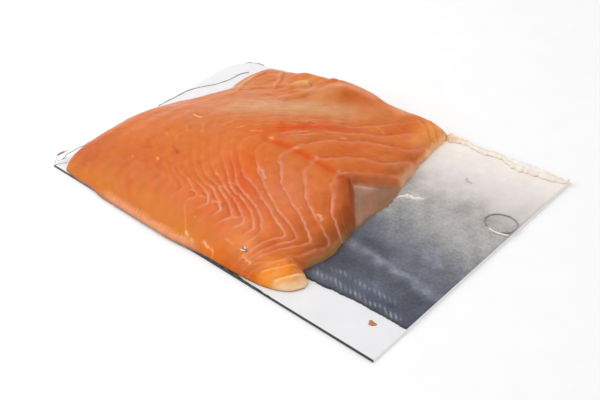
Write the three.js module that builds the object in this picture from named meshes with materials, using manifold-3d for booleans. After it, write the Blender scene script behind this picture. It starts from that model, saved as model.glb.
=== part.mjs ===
// A pack of smoked salmon: a cut side of salmon lying on its own skin on a laminated board,
// held down by a clear film that is sealed to the board all round.
// Lengths are in millimetres and Z is up. The rules below measure x from the left edge of the
// board and y from its front edge. The finished pieces are shifted to the middle of the board.
import * as THREE from 'three';
import { mergeVertices } from 'three/addons/utils/BufferGeometryUtils.js';
import Module from 'manifold-3d';

const BOARD_LENGTH = 300;
const BOARD_DEPTH = 185;
const BOARD_THICKNESS = 1.5;
const BOARD_CORNER = 24;
const SKIN_THICKNESS = 1.0;
const SKIN_BACK = 184.2;
const GAP = 0.3;
const MEMBRANE_THICKNESS = 0.6;
const MEMBRANE_START = 212;
const FILM_THICKNESS = 0.4;
const FILM_INSET = 0.2;
const FILM_CLEARANCE = 0.6;
const FLESH_EDGE = 1.0;
const FLESH_COLUMNS = 62;
const FLESH_ROWS = 50;
const CREASE_DEPTH = 0.45;
const FLAP_EDGE = 0.4;
const FLAP_SLOPE = 0.21;

// Soft swellings and dips along the back: a hump, two lobes beside it with a notch between
// them, a low place at the left and the curled end of one slice.
const SWELLINGS = [
  { x: 134, y: 166, reachX: 22, reachY: 11, rise: 1.3 },
  { x: 86, y: 176, reachX: 12, reachY: 9, rise: 2.2 },
  { x: 146, y: 180, reachX: 11, reachY: 11, rise: 1.8 },
  { x: 109, y: 181, reachX: 5, reachY: 8, rise: -1.6 },
  { x: 52, y: 180, reachX: 13, reachY: 11, rise: -2.6 },
  { x: 95.5, y: 157, reachX: 7, reachY: 5, rise: 1.4 },
];

// Rounding of the flesh towards each of its four sides.
const ROUND_LEFT = 20;
const ROUND_RIGHT = 14;
const ROUND_FRONT = 26;
const ROUND_BACK = 9;

// Thickness of the flesh at a net of stations, one row for each distance from the front edge.
const STATION_X = [0, 25, 60, 90, 125, 155, 190, 235];
const STATION_ROWS = [
  { y: 0, thickness: [5, 7, 9, 10, 9, 9, 8, 7] },
  { y: 30, thickness: [8, 13, 18, 20, 19, 18, 14, 9] },
  { y: 70, thickness: [9, 15, 23, 25, 25, 22, 16, 11] },
  { y: 110, thickness: [6, 8.5, 18.5, 24, 24, 21, 15, 9] },
  { y: 150, thickness: [4, 5, 10.5, 16, 19, 15, 11, 6] },
  { y: 180, thickness: [4, 5, 8, 12.5, 19, 13.5, 10.5, 7] },
];

const wasm = await Module();
wasm.setup();

function clamp(value, low, high) {
  return Math.min(Math.max(value, low), high);
}

function mix(a, b, t) {
  return a + (b - a) * t;
}

function ease(low, high, value) {
  const t = clamp((value - low) / (high - low), 0, 1);
  return t * t * (3 - 2 * t);
}

// A smooth curve through the given [position, value] pairs, level beyond its ends.
function smoothCurve(pairs) {
  const last = pairs.length - 1;
  const rise = pairs.slice(1).map((pair, i) => (pair[1] - pairs[i][1]) / (pair[0] - pairs[i][0]));
  const slope = pairs.map((pair, i) => {
    if (i === 0) return rise[0];
    if (i === last) return rise[last - 1];
    const before = pair[0] - pairs[i - 1][0];
    const after = pairs[i + 1][0] - pair[0];
    return (rise[i - 1] * after + rise[i] * before) / (before + after);
  });
  return (position) => {
    const at = clamp(position, pairs[0][0], pairs[last][0]);
    let i = 0;
    while (i < last - 1 && at > pairs[i + 1][0]) i += 1;
    const span = pairs[i + 1][0] - pairs[i][0];
    const s = (at - pairs[i][0]) / span;
    const start = (2 * s ** 3 - 3 * s ** 2 + 1) * pairs[i][1] + (s ** 3 - 2 * s ** 2 + s) * span * slope[i];
    const end = (3 * s ** 2 - 2 * s ** 3) * pairs[i + 1][1] + (s ** 3 - s ** 2) * span * slope[i + 1];
    return start + end;
  };
}

// The four sides of the flesh. The right side drops steeply and ends in a thin flap; the
// front side swings out at its right end into a lobe of pale fat.
const leftSide = smoothCurve([
  [0, 17], [5, 11], [12, 6.2], [22, 3.6], [45, 3], [70, 5.4], [90, 11.6], [110, 19.5],
  [125, 28], [134, 32], [141, 33.5], [148, 31], [160, 30], [170, 32], [186, 36],
]);
const frontSide = smoothCurve([
  [0, 9], [8, 4], [20, 1.8], [60, 1.4], [150, 1.4], [180, 1.8],
  [200, 2.2], [215, 3.8], [225, 7], [232, 12], [235, 17],
]);
const rightSide = smoothCurve([
  [17, 235], [22, 232.5], [26, 225], [29, 225], [35, 227], [45, 229.5], [75, 228.5],
  [105, 226], [125, 220], [160, 212.5], [175, 211], [186, 209],
]);
const backSide = smoothCurve([
  [0, 165], [30, 181], [45, 183.2], [90, 183.7], [150, 183.5], [205, 183], [235, 180],
]);
const skinFront = smoothCurve([[10, 9], [120, 6], [180, 12], [215, 25], [232, 24], [262, 26.5], [300, 27]]);

// How far a point is up the rounded shoulder that starts at a side, from 0 to 1.
function shoulder(distance, radius) {
  const s = clamp(distance / radius, 0, 1);
  return Math.sqrt(Math.max(1 - (1 - s) ** 2, 0));
}

const stationCurves = STATION_ROWS.map((row) => smoothCurve(STATION_X.map((x, i) => [x, row.thickness[i]])));

function stationThickness(x, y) {
  return smoothCurve(STATION_ROWS.map((row, i) => [row.y, stationCurves[i](x)]))(y);
}

// How far to the right a seam has gone at a distance below the upper crest. The early seams,
// at the left, run nearly straight. The later ones first drop and then sweep out to the right.
const earlyLean = smoothCurve([
  [0, 0], [10, 4], [21, 11], [36, 27], [42.5, 34], [52, 49.5], [56, 60], [63, 72.5], [69, 80.5],
]);
const middleLean = smoothCurve([
  [0, 0], [12, -1], [15, 0.5], [21, 4.5], [27.6, 11.5], [32.7, 17], [38, 25],
  [42, 32], [45.6, 39.5], [49, 48], [52.5, 58], [57.5, 70.5], [62.5, 80],
]);
const lateLean = smoothCurve([
  [0, 0], [6, -1.5], [12, -1.5], [18, 3], [24, 9], [31, 18],
  [36, 26], [41, 36], [45, 46], [50, 57], [56, 66], [63, 73],
]);

// The number of each seam by where it starts on the upper crest.
const seamNumber = smoothCurve([
  [20, 13], [71, 19], [79.7, 20], [88.3, 21], [96.6, 22], [105.6, 23], [113.6, 24], [126.1, 25],
  [139.4, 26], [156.2, 27], [173.7, 28], [192.5, 29], [214, 30], [240, 31.2],
]);

// Above the upper crest a seam leaves it with this lean and then bends by this much.
const riseStart = smoothCurve([
  [100, 0.10], [125, 0.34], [138, 0.45], [157, 0.14], [173, 0.58], [192, 1.60], [205, 2.10],
]);
const riseBend = smoothCurve([
  [100, 0.0085], [125, 0.0092], [138, 0.0085], [157, 0.0165], [173, 0.0108], [192, -0.0165], [205, -0.025],
]);

function upperCrest(x) {
  return 83 + 11.5 * ease(95, 180, x);
}

function lowerCrest(x) {
  return 24 + 23 * clamp((x - 186) / 42, 0, 1) ** 1.4;
}

// The white seams between the muscle blocks lie where this count is a whole number. Each
// leaves the upper crest, along the middle of the side, both ways to the right and turns back
// at the lower crest near the front edge. Where it starts is found by closing in on it.
function seamCount(x, y) {
  const upper = upperCrest(x);
  const lower = lowerCrest(x);
  const below = clamp(upper - y, 0, upper - lower);
  const turned = Math.max(lower - y, 0);
  const above = Math.max(y - upper, 0);
  const arc = Math.min(above, 50);
  const bunch = above > 0 ? 9 * Math.exp(-Math.max(rightSide(y) - x, 0) / 5) * ease(85, 110, y) : 0;
  const seen = x + bunch + 0.42 * turned;
  let start = seen;
  for (let pass = 0; pass < 12; pass += 1) {
    const early = (2 + 3 * ease(165, 192, start)) * ease(152, 172, start) * ease(0, 10, below);
    const first = mix(earlyLean(below), middleLean(below), ease(110, 126, start));
    const forward = mix(first, lateLean(below), ease(140, 156, start)) + early;
    const upward = riseStart(start) * arc + riseBend(start) * arc ** 2 + 0.8 * (above - arc);
    start = mix(start, seen - forward - upward, 0.6);
  }
  return seamNumber(start);
}

// Shallow creases along the seams, fading out to the left, to the front and to the back.
function creaseRelief(x, y) {
  const ends = ease(70, 135, x - 0.6 * Math.max(y - 90, 0)) * (1 - ease(216, 224, x));
  const shown = ends * ease(14, 34, y) * (1 - 0.6 * ease(150, 180, y));
  return -CREASE_DEPTH * Math.cos(2 * Math.PI * seamCount(x, y)) * shown;
}

// A wedge at the right end where the muscle has come away and a lower, thin flap is left.
// It lies between the straight end of the middle and the foot of the upper block.
const flapTop = smoothCurve([[190, 99.5], [196, 102], [209, 108.5], [220, 119.5]]);

function flapShare(x, y) {
  const pastMiddle = 0.72 * (x - 206) + 0.69 * (y - 92);
  return ease(-5.5, 2.8, pastMiddle) * ease(-5.5, 2.8, flapTop(x) - y);
}

function swelling(x, y) {
  return SWELLINGS.reduce((total, { x: middle, y: depth, reachX, reachY, rise }) => (
    total + rise * Math.exp(-(((x - middle) / reachX) ** 2) - ((y - depth) / reachY) ** 2)
  ), 0);
}

// Height of the flesh over the board's top face.
function fleshHeight(x, y) {
  const left = x - leftSide(y);
  const right = rightSide(y) - x;
  const front = y - frontSide(x);
  const back = backSide(x) - y;
  if (Math.min(left, right, front, back) < -0.001) return 0;
  const round = shoulder(left, ROUND_LEFT) * shoulder(right, ROUND_RIGHT)
    * shoulder(front, ROUND_FRONT) * shoulder(back, ROUND_BACK - 4 * ease(165, 200, x));
  const flap = flapShare(x, y);
  const whole = (stationThickness(x, y) + creaseRelief(x, y) + swelling(x, y)) * round;
  return FLESH_EDGE + mix(whole, Math.min(whole, FLAP_EDGE + FLAP_SLOPE * right), flap);
}

// A point of the flesh in plan: across runs 0 to 1 from left to right, along 0 to 1 from front to back.
function fleshPlan(across, along) {
  let x = mix(10, 230, across);
  let y = mix(3, 183, along);
  for (let pass = 0; pass < 40; pass += 1) {
    x = mix(x, mix(leftSide(y), rightSide(y), across), 0.7);
    y = mix(y, mix(frontSide(x), backSide(x), along), 0.7);
  }
  return [x, y];
}

// Steps from 0 to 1 that are a little closer together at both ends.
function closeEnds(t) {
  return t - 0.05 * Math.sin(2 * Math.PI * t);
}

function named(name, geometry, color, roughness, opacity = 1) {
  const material = new THREE.MeshStandardMaterial({ color, roughness, metalness: 0 });
  if (opacity < 1) {
    material.transparent = true;
    material.opacity = opacity;
  }
  geometry.translate(-BOARD_LENGTH / 2, -BOARD_DEPTH / 2, 0);
  geometry.computeVertexNormals();
  const mesh = new THREE.Mesh(geometry, material);
  mesh.name = name;
  return mesh;
}

function toManifold(geometry) {
  const bare = geometry.clone();
  bare.deleteAttribute('normal');
  bare.deleteAttribute('uv');
  const merged = mergeVertices(bare, 0.0001);
  const triVerts = Uint32Array.from(merged.index.array);
  const vertProperties = Float32Array.from(merged.attributes.position.array);
  return new wasm.Manifold(new wasm.Mesh({ numProp: 3, vertProperties, triVerts }));
}

function fromManifold(solid) {
  const mesh = solid.getMesh();
  const geometry = new THREE.BufferGeometry();
  geometry.setAttribute('position', new THREE.BufferAttribute(Float32Array.from(mesh.vertProperties), 3));
  geometry.setIndex(new THREE.BufferAttribute(Uint32Array.from(mesh.triVerts), 1));
  return geometry;
}

function plate(outline, bottom, thickness) {
  const shape = new THREE.Shape(outline.map(([x, y]) => new THREE.Vector2(x, y)));
  const geometry = new THREE.ExtrudeGeometry(shape, { depth: thickness, bevelEnabled: false });
  geometry.translate(0, 0, bottom);
  return geometry;
}

// A closed solid between two sheets of the same grid, given as rows of [x, y, low, high].
function sheetSolid(grid) {
  const rows = grid.length;
  const columns = grid[0].length;
  const count = rows * columns;
  const flat = grid.flat();
  const positions = [
    ...flat.flatMap(([x, y, low]) => [x, y, low]),
    ...flat.flatMap(([x, y, low, high]) => [x, y, high]),
  ];
  const faces = [];
  const quad = (a, b, c, d) => faces.push(a, b, c, a, c, d);
  for (let row = 0; row < rows - 1; row += 1) {
    for (let column = 0; column < columns - 1; column += 1) {
      const a = row * columns + column;
      const b = a + 1;
      const c = b + columns;
      const d = a + columns;
      quad(a + count, b + count, c + count, d + count);
      quad(a, d, c, b);
    }
  }
  for (let column = 0; column < columns - 1; column += 1) {
    const front = column;
    const back = (rows - 1) * columns + column;
    quad(front, front + 1, front + 1 + count, front + count);
    quad(back + 1, back, back + count, back + 1 + count);
  }
  for (let row = 0; row < rows - 1; row += 1) {
    const left = row * columns;
    const right = left + columns - 1;
    quad(left + columns, left, left + count, left + columns + count);
    quad(right, right + columns, right + columns + count, right + count);
  }
  const geometry = new THREE.BufferGeometry();
  geometry.setAttribute('position', new THREE.Float32BufferAttribute(positions, 3));
  geometry.setIndex(faces);
  return geometry;
}

// The board is square at three corners and rounded at the back left one.
function boardOutline(inset) {
  const right = BOARD_LENGTH - inset;
  const back = BOARD_DEPTH - inset;
  const radius = BOARD_CORNER - inset;
  const outline = [[inset, inset], [right, inset], [right, back]];
  for (let step = 0; step <= 12; step += 1) {
    const angle = Math.PI / 2 + (Math.PI / 2) * (step / 12);
    outline.push([inset + radius + radius * Math.cos(angle), back - radius + radius * Math.sin(angle)]);
  }
  return outline;
}

function buildBoard() {
  return named('board', plate(boardOutline(0), 0, BOARD_THICKNESS), 0xf3f2f4, 0.35);
}

// The skin runs from under the flesh to the right edge of the board.
function skinOutline(grow) {
  const steps = 40;
  const right = BOARD_LENGTH - FILM_INSET;
  const outline = [];
  for (let i = 0; i <= steps; i += 1) {
    const x = mix(12, right, i / steps);
    outline.push([x + (i === steps ? grow : 0), skinFront(x) - grow]);
  }
  outline.push([right + grow, SKIN_BACK + grow]);
  for (let i = steps; i > 0; i -= 1) {
    const y = mix(skinFront(12), SKIN_BACK, i / steps);
    outline.push([leftSide(y) + 5 - grow, i === steps ? SKIN_BACK + grow : y]);
  }
  return outline;
}

function buildSkin() {
  return named('skin', plate(skinOutline(0), BOARD_THICKNESS, SKIN_THICKNESS), 0x8b8d93, 0.4);
}

// A thin strip of pale belly lining left along the back edge of the skin.
function buildMembrane() {
  const columns = 46;
  const bottom = BOARD_THICKNESS + SKIN_THICKNESS;
  const end = BOARD_LENGTH - 1;
  const grid = [0, 0.5, 1].map((along) => {
    const row = [];
    for (let i = 0; i <= columns; i += 1) {
      const x = mix(MEMBRANE_START, end, i / columns);
      const patch = 3.5 * Math.exp(-(((x - 276) / 11) ** 2));
      const width = 4.5 + patch + 1.1 * Math.sin(x / 3.1) + 0.7 * Math.sin(x / 1.7 + 1);
      const outer = SKIN_BACK - 0.6 - 0.4 * Math.sin(x / 4.3);
      const bulge = 0.5 * Math.sin(Math.PI * along) * (1 + patch / 3.5);
      row.push([x, mix(outer - width, outer, along), bottom, bottom + MEMBRANE_THICKNESS + bulge]);
    }
    return row;
  });
  return named('belly_lining', sheetSolid(grid), 0xefd9c2, 0.45);
}

// The flesh is cut away over the skin, so that it rests on the skin and, where it reaches
// past the skin's front edge, on the board.
function buildFlesh() {
  const grid = [];
  for (let row = 0; row <= FLESH_ROWS; row += 1) {
    const line = [];
    for (let column = 0; column <= FLESH_COLUMNS; column += 1) {
      const [x, y] = fleshPlan(closeEnds(column / FLESH_COLUMNS), closeEnds(row / FLESH_ROWS));
      line.push([x, y, BOARD_THICKNESS + fleshHeight(x, y)]);
    }
    grid.push(line);
  }
  const geometry = closedOnBoard(grid);
  const skinSpace = plate(skinOutline(GAP), 0, BOARD_THICKNESS + SKIN_THICKNESS + GAP);
  const cut = toManifold(geometry).subtract(toManifold(skinSpace));
  const pieces = cut.decompose().sort((a, b) => b.volume() - a.volume());
  return named('flesh', fromManifold(pieces[0]), 0xe9793a, 0.35);
}

// Closes a grid of top points down to the board's top face with one flat underside.
function closedOnBoard(grid) {
  const columns = grid[0].length;
  const rows = grid.length;
  const top = grid.flat();
  const rim = [];
  for (let column = 0; column < columns - 1; column += 1) rim.push(column);
  for (let row = 0; row < rows - 1; row += 1) rim.push(row * columns + columns - 1);
  for (let column = columns - 1; column > 0; column -= 1) rim.push((rows - 1) * columns + column);
  for (let row = rows - 1; row > 0; row -= 1) rim.push(row * columns);
  const foot = rim.map((index) => [top[index][0], top[index][1], BOARD_THICKNESS]);
  const faces = [];
  for (let row = 0; row < rows - 1; row += 1) {
    for (let column = 0; column < columns - 1; column += 1) {
      const a = row * columns + column;
      faces.push(a, a + 1, a + 1 + columns, a, a + 1 + columns, a + columns);
    }
  }
  rim.forEach((index, i) => {
    const next = (i + 1) % rim.length;
    faces.push(top.length + i, top.length + next, rim[next], top.length + i, rim[next], index);
  });
  const footShape = foot.map(([x, y]) => new THREE.Vector2(x, y));
  THREE.ShapeUtils.triangulateShape(footShape, []).forEach(([a, b, c]) => {
    faces.push(top.length + a, top.length + c, top.length + b);
  });
  const geometry = new THREE.BufferGeometry();
  geometry.setAttribute('position', new THREE.Float32BufferAttribute([...top, ...foot].flat(), 3));
  geometry.setIndex(faces);
  return geometry;
}

// What the film has to clear at a point, as a height over the board's top face.
function contentsHeight(x, y) {
  const flesh = fleshHeight(x, y);
  const underSkin = y > skinFront(x) - 0.8 && y < SKIN_BACK + 0.5 && x > leftSide(y) + 3;
  const lining = x > MEMBRANE_START - 2 && y > SKIN_BACK - 12 ? MEMBRANE_THICKNESS + 1.1 : 0;
  return Math.max(flesh, underSkin ? SKIN_THICKNESS + lining : 0);
}

// Where the grid lines of the film lie: close together at both edges of the board.
function filmStops(length, count) {
  const stops = [-1, FILM_INSET, 1];
  for (let i = 1; i < count; i += 1) stops.push(mix(1, length - 0.9, i / count));
  stops.push(length - 0.9, length - FILM_INSET, length + 1);
  return stops;
}

// The film is pulled down tight: it starts high over the contents and each point then
// sinks until the contents below the film around it hold it up.
function buildFilm() {
  const stopsX = filmStops(BOARD_LENGTH, 34);
  const stopsY = filmStops(BOARD_DEPTH, 22);
  const needs = filmNeeds(stopsX, stopsY);
  const lift = stopsY.map((y, row) => stopsX.map((x, column) => {
    const around = cellsAround(needs, row, column).flatMap(([i, j]) => needs[i][j]);
    return Math.max(...around.map((sample) => sample.need));
  }));
  for (let pass = 0; pass < 16; pass += 1) sinkFilm(needs, lift);
  const grid = stopsY.map((y, row) => stopsX.map((x, column) => {
    const low = BOARD_THICKNESS + lift[row][column];
    return [x, y, low, low + FILM_THICKNESS];
  }));
  const trim = plate(boardOutline(FILM_INSET), 0, 60);
  const film = toManifold(sheetSolid(grid)).intersect(toManifold(trim));
  return named('film', fromManifold(film), 0xf6f8fa, 0.08, 0.25);
}

// For each cell of the film, the heights it has to clear at a small grid of samples.
function filmNeeds(stopsX, stopsY) {
  const samples = 6;
  return stopsY.slice(1).map((yHigh, row) => stopsX.slice(1).map((xHigh, column) => {
    const list = [];
    for (let k = 0; k < (samples + 1) ** 2; k += 1) {
      const s = (k % (samples + 1)) / samples;
      const t = Math.floor(k / (samples + 1)) / samples;
      const height = contentsHeight(mix(stopsX[column], xHigh, s), mix(stopsY[row], yHigh, t));
      list.push({ s, t, need: height > 0 ? height + FILM_CLEARANCE : 0 });
    }
    return list;
  }));
}

function cellsAround(needs, row, column) {
  const cells = [[row - 1, column - 1], [row - 1, column], [row, column - 1], [row, column]];
  return cells.filter(([r, c]) => r >= 0 && c >= 0 && r < needs.length && c < needs[0].length);
}

// Each cell is two triangles that share the diagonal from its front left corner.
function cellCorners(row, column, s, t) {
  const side = s > t ? [row, column + 1] : [row + 1, column];
  return [
    { at: [row, column], weight: 1 - Math.max(s, t) },
    { at: side, weight: Math.abs(s - t) },
    { at: [row + 1, column + 1], weight: Math.min(s, t) },
  ];
}

function sinkFilm(needs, lift) {
  lift.forEach((line, row) => line.forEach((height, column) => {
    let floor = 0;
    cellsAround(needs, row, column).forEach(([cellRow, cellColumn]) => {
      needs[cellRow][cellColumn].forEach(({ s, t, need }) => {
        const corners = cellCorners(cellRow, cellColumn, s, t);
        const own = corners.find((corner) => corner.at[0] === row && corner.at[1] === column);
        if (!own || own.weight < 0.01) return;
        const total = corners.reduce((sum, { at, weight }) => sum + weight * lift[at[0]][at[1]], 0);
        floor = Math.max(floor, height + (need - total) / own.weight);
      });
    });
    lift[row][column] = Math.min(height, mix(height, floor, 0.5));
    if (floor < 0.001 && lift[row][column] < 0.05) lift[row][column] = 0;
  }));
}

function buildPack() {
  const pack = new THREE.Group();
  pack.name = 'pack_of_smoked_salmon';
  pack.add(buildBoard(), buildSkin(), buildMembrane(), buildFlesh(), buildFilm());
  return pack;
}

export default buildPack();
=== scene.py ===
# A pack of smoked salmon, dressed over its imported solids. Lengths are in millimetres until a
# mesh is made: x runs from the left edge of the board, y from its front edge and z up from
# the table, as the pieces are laid out when the pack is filled.
import math

import bpy
import numpy as np
from mathutils import Matrix, Vector


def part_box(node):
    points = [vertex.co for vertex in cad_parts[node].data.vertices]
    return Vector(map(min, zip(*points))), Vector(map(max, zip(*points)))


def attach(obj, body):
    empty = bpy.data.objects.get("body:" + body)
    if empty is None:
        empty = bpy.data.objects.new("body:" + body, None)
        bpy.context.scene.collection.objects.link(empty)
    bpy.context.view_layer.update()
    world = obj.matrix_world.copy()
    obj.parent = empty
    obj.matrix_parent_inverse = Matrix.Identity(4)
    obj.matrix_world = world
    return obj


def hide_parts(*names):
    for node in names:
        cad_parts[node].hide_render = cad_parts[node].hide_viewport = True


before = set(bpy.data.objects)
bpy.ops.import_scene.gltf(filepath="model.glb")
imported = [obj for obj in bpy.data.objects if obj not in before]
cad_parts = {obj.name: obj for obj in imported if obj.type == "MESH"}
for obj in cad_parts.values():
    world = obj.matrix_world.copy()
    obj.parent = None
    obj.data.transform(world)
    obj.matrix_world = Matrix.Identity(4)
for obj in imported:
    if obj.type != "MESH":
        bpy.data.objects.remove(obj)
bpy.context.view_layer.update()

MM = 0.001


# ---- Camera and studio -------------------------------------------------------------------
# A small tabletop studio: a pale sweep of card, a white surround that lights it from all
# sides, and one large soft lamp over the near left corner of the pack.

CAMERA_PLACE = Vector((369.85, -308.72, 337.19)) * MM
CAMERA_AZIMUTH = 49.90
CAMERA_ELEVATION = 36.67
CAMERA_ROLL = -8.79
CAMERA_LENS = 53.24
CAMERA_SENSOR = 36
CAMERA_CLIP = 0.01
SURROUND_STRENGTH = 0.79
LAMP_WATTS = 3.5
LAMP_SIZE = 0.7
LAMP_PLACE = Vector((-0.50, -0.30, 0.70))
FLOOR_SPAN = 8.0


def linear(sheet_hex, alpha=1.0):
    """An sRGB hex colour as the linear colour that shaders use."""
    parts = [int(sheet_hex[i:i + 2], 16) / 255 for i in (1, 3, 5)]
    return tuple(p / 12.92 if p <= 0.04045 else ((p + 0.055) / 1.055) ** 2.4 for p in parts) + (alpha,)


def add_node(tree, kind, inputs=None, **settings):
    """Adds one node. Inputs are given by name or number, as a value, as a socket to link or
    as a node, whose first output is then linked."""
    node = tree.nodes.new(kind)
    for name, value in settings.items():
        setattr(node, name, value)
    for socket, value in (inputs or {}).items():
        if isinstance(value, bpy.types.Node):
            value = value.outputs[0]
        if isinstance(value, bpy.types.NodeSocket):
            tree.links.new(value, node.inputs[socket])
        else:
            node.inputs[socket].default_value = value
    return node


def new_material(name):
    """An empty node material, its tree and the socket of its Object coordinates."""
    material = bpy.data.materials.new(name)
    material.use_nodes = True
    tree = material.node_tree
    tree.nodes.clear()
    return material, tree, add_node(tree, "ShaderNodeTexCoord").outputs["Object"]


def aim_camera():
    azimuth, elevation, roll = (math.radians(a) for a in (CAMERA_AZIMUTH, CAMERA_ELEVATION, CAMERA_ROLL))
    level = Vector((math.cos(azimuth), math.sin(azimuth), 0))
    back = Vector((math.sin(azimuth) * math.cos(elevation), -math.cos(azimuth) * math.cos(elevation),
                   math.sin(elevation)))
    upright = back.cross(level)
    right = level * math.cos(roll) + upright * math.sin(roll)
    up = upright * math.cos(roll) - level * math.sin(roll)
    data = bpy.data.cameras.new("studio_camera")
    data.lens = CAMERA_LENS
    data.sensor_width = CAMERA_SENSOR
    data.clip_start = CAMERA_CLIP
    camera = bpy.data.objects.new("studio_camera", data)
    columns = Matrix((right, up, back)).transposed().to_4x4()
    camera.matrix_world = Matrix.Translation(CAMERA_PLACE) @ columns
    bpy.context.scene.collection.objects.link(camera)
    bpy.context.scene.camera = camera


aim_camera()

lamp_data = bpy.data.lights.new("soft_lamp", "AREA")
lamp_data.energy = LAMP_WATTS
lamp_data.size = LAMP_SIZE
lamp = bpy.data.objects.new("soft_lamp", lamp_data)
lamp.location = LAMP_PLACE
lamp.rotation_euler = (-LAMP_PLACE).to_track_quat("-Z", "Y").to_euler()
bpy.context.scene.collection.objects.link(lamp)

surround = bpy.data.worlds.new("white_surround")
surround.use_nodes = True
glow = surround.node_tree.nodes["Background"]
glow.inputs["Color"].default_value = (1, 1, 1, 1)
glow.inputs["Strength"].default_value = SURROUND_STRENGTH
bpy.context.scene.world = surround
bpy.context.scene.view_settings.view_transform = "Standard"

sweep_mesh = bpy.data.meshes.new("sweep")
corners = [(x * FLOOR_SPAN / 2, y * FLOOR_SPAN / 2, 0) for x, y in ((-1, -1), (1, -1), (1, 1), (-1, 1))]
sweep_mesh.from_pydata(corners, [], [(0, 1, 2, 3)])
sweep = bpy.data.objects.new("sweep", sweep_mesh)
bpy.context.scene.collection.objects.link(sweep)

# Matt white card, a touch uneven, so that it reads as a pale plain floor.
card_paper, tree, _ = new_material("matt_white_card")
grain = add_node(tree, "ShaderNodeTexNoise", {"Scale": 400.0, "Detail": 2.0})
paper_tone = add_node(tree, "ShaderNodeMix", {
    0: grain, 6: linear("#fbfbfb"), 7: linear("#ffffff")}, data_type="RGBA")
paper = add_node(tree, "ShaderNodeBsdfPrincipled", {"Base Color": paper_tone.outputs[2], "Roughness": 0.9})
add_node(tree, "ShaderNodeOutputMaterial", {"Surface": paper})
sweep_mesh.materials.append(card_paper)


# ---- Board -------------------------------------------------------------------------------
# The backing board is grey pulp board laminated white, die cut with three square corners and one rounded one.
# Its front edge is coloured as the pulp core, darkened to near black as painted shadow under that edge.

board_low, board_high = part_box("board")
BOARD_LENGTH = (board_high.x - board_low.x) / MM
BOARD_DEPTH = (board_high.y - board_low.y) / MM
BOARD_TOP = board_high.z / MM
BOARD_CORNER = 24.0
BOARD_CORNER_STEPS = 17
BOARD_EDGE_ROUND = 0.12
# The near black of the front edge, pulp with painted shadow, reaches from the front cut to this far back on
# the top face.
PULP_FROM, PULP_TO = 0.4, 0.9


def to_frame(points):
    """Millimetres from the board's front left corner, as metres in the CAD frame."""
    shift = np.array([board_low.x, board_low.y, 0.0])
    return np.asarray(points, float) * MM + shift


def make_piece(name, points, faces, material, node=None, smooth=True):
    """A mesh piece that rides on the pack, in place of a CAD node if one is named."""
    mesh = bpy.data.meshes.new(name)
    mesh.from_pydata(to_frame(points).tolist(), [], faces)
    mesh.materials.append(material)
    mesh.polygons.foreach_set("use_smooth", [smooth] * len(mesh.polygons))
    mesh.update()
    piece = bpy.data.objects.new(name, mesh)
    bpy.context.scene.collection.objects.link(piece)
    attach(piece, "root")
    if node:
        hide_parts(node)
    return piece


def board_outline(inset):
    """The board's outline with its one rounded corner, anticlockwise from the front left."""
    right, back, radius = BOARD_LENGTH - inset, BOARD_DEPTH - inset, BOARD_CORNER - inset
    outline = [(inset, inset), (right, inset), (right, back)]
    for angle in np.linspace(math.pi / 2, math.pi, BOARD_CORNER_STEPS):
        outline.append((inset + radius * (1 + math.cos(angle)), back - radius * (1 - math.sin(angle))))
    return outline


def build_board(material):
    """The board as rings of its outline, with both edges of the cut slightly rounded."""
    edge = BOARD_EDGE_ROUND
    rings = [(edge, 0.0), (0.0, edge), (0.0, BOARD_TOP - edge), (edge, BOARD_TOP)]
    points = [(x, y, z) for inset, z in rings for x, y in board_outline(inset)]
    count = len(board_outline(0.0))
    faces = [tuple(reversed(range(count))), tuple(range(3 * count, 4 * count))]
    for first in range(0, 3 * count, count):
        for i in range(count):
            j = (i + 1) % count
            faces.append((first + i, first + j, first + count + j, first + count + i))
    return make_piece("laminated_board", points, faces, material, "board", smooth=False)


# White laminate over grey pulp board: a satin white sheet on top, and along the front cut the bare pulp,
# darkened to near black as painted shadow and carried a little way onto the top face.
laminate, tree, place = new_material("white_laminate_on_pulp_board")
geometry = add_node(tree, "ShaderNodeNewGeometry")
facing = add_node(tree, "ShaderNodeSeparateXYZ", {0: geometry.outputs["Normal"]})
off_front = add_node(tree, "ShaderNodeMapRange", {0: facing.outputs["Y"], 1: -0.75, 2: -0.55})
ripple = add_node(tree, "ShaderNodeTexNoise", {"Vector": place, "Scale": 60.0, "Detail": 3.0})
pulp = add_node(tree, "ShaderNodeTexNoise", {"Vector": place, "Scale": 900.0})
white = add_node(tree, "ShaderNodeMix", {
    0: ripple, 6: linear("#e9e8ea"), 7: linear("#f6f5f7")}, data_type="RGBA")
# Painted shadow: the pulp's dark grey deepened to near black.
pulp_and_shadow = add_node(tree, "ShaderNodeMix", {
    0: pulp, 6: linear("#0e0e0e"), 7: linear("#262423")}, data_type="RGBA")
depth = add_node(tree, "ShaderNodeSeparateXYZ", {0: place})
off_cut = add_node(tree, "ShaderNodeMapRange", {
    0: depth.outputs["Y"], 1: board_low.y + PULP_FROM * MM, 2: board_low.y + PULP_TO * MM})
off_both = add_node(tree, "ShaderNodeMath", {0: off_front, 1: off_cut}, operation="MINIMUM")
face = add_node(tree, "ShaderNodeMix", {
    0: off_both, 6: pulp_and_shadow.outputs[2], 7: white.outputs[2]}, data_type="RGBA")
dents = add_node(tree, "ShaderNodeBump", {"Height": ripple, "Strength": 0.15, "Distance": 0.0004})
skin_of_board = add_node(tree, "ShaderNodeBsdfPrincipled", {
    "Base Color": face.outputs[2], "Roughness": 0.32, "Normal": dents})
add_node(tree, "ShaderNodeOutputMaterial", {"Surface": skin_of_board})
board = build_board(laminate)


# ---- Skin --------------------------------------------------------------------------------
# The salmon's own skin, left on the board where the slices have been lifted off: a thin wet
# hide, slate blue along the back of the fish and silver towards the belly, with the pits of
# its scales in offset rows.

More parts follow.
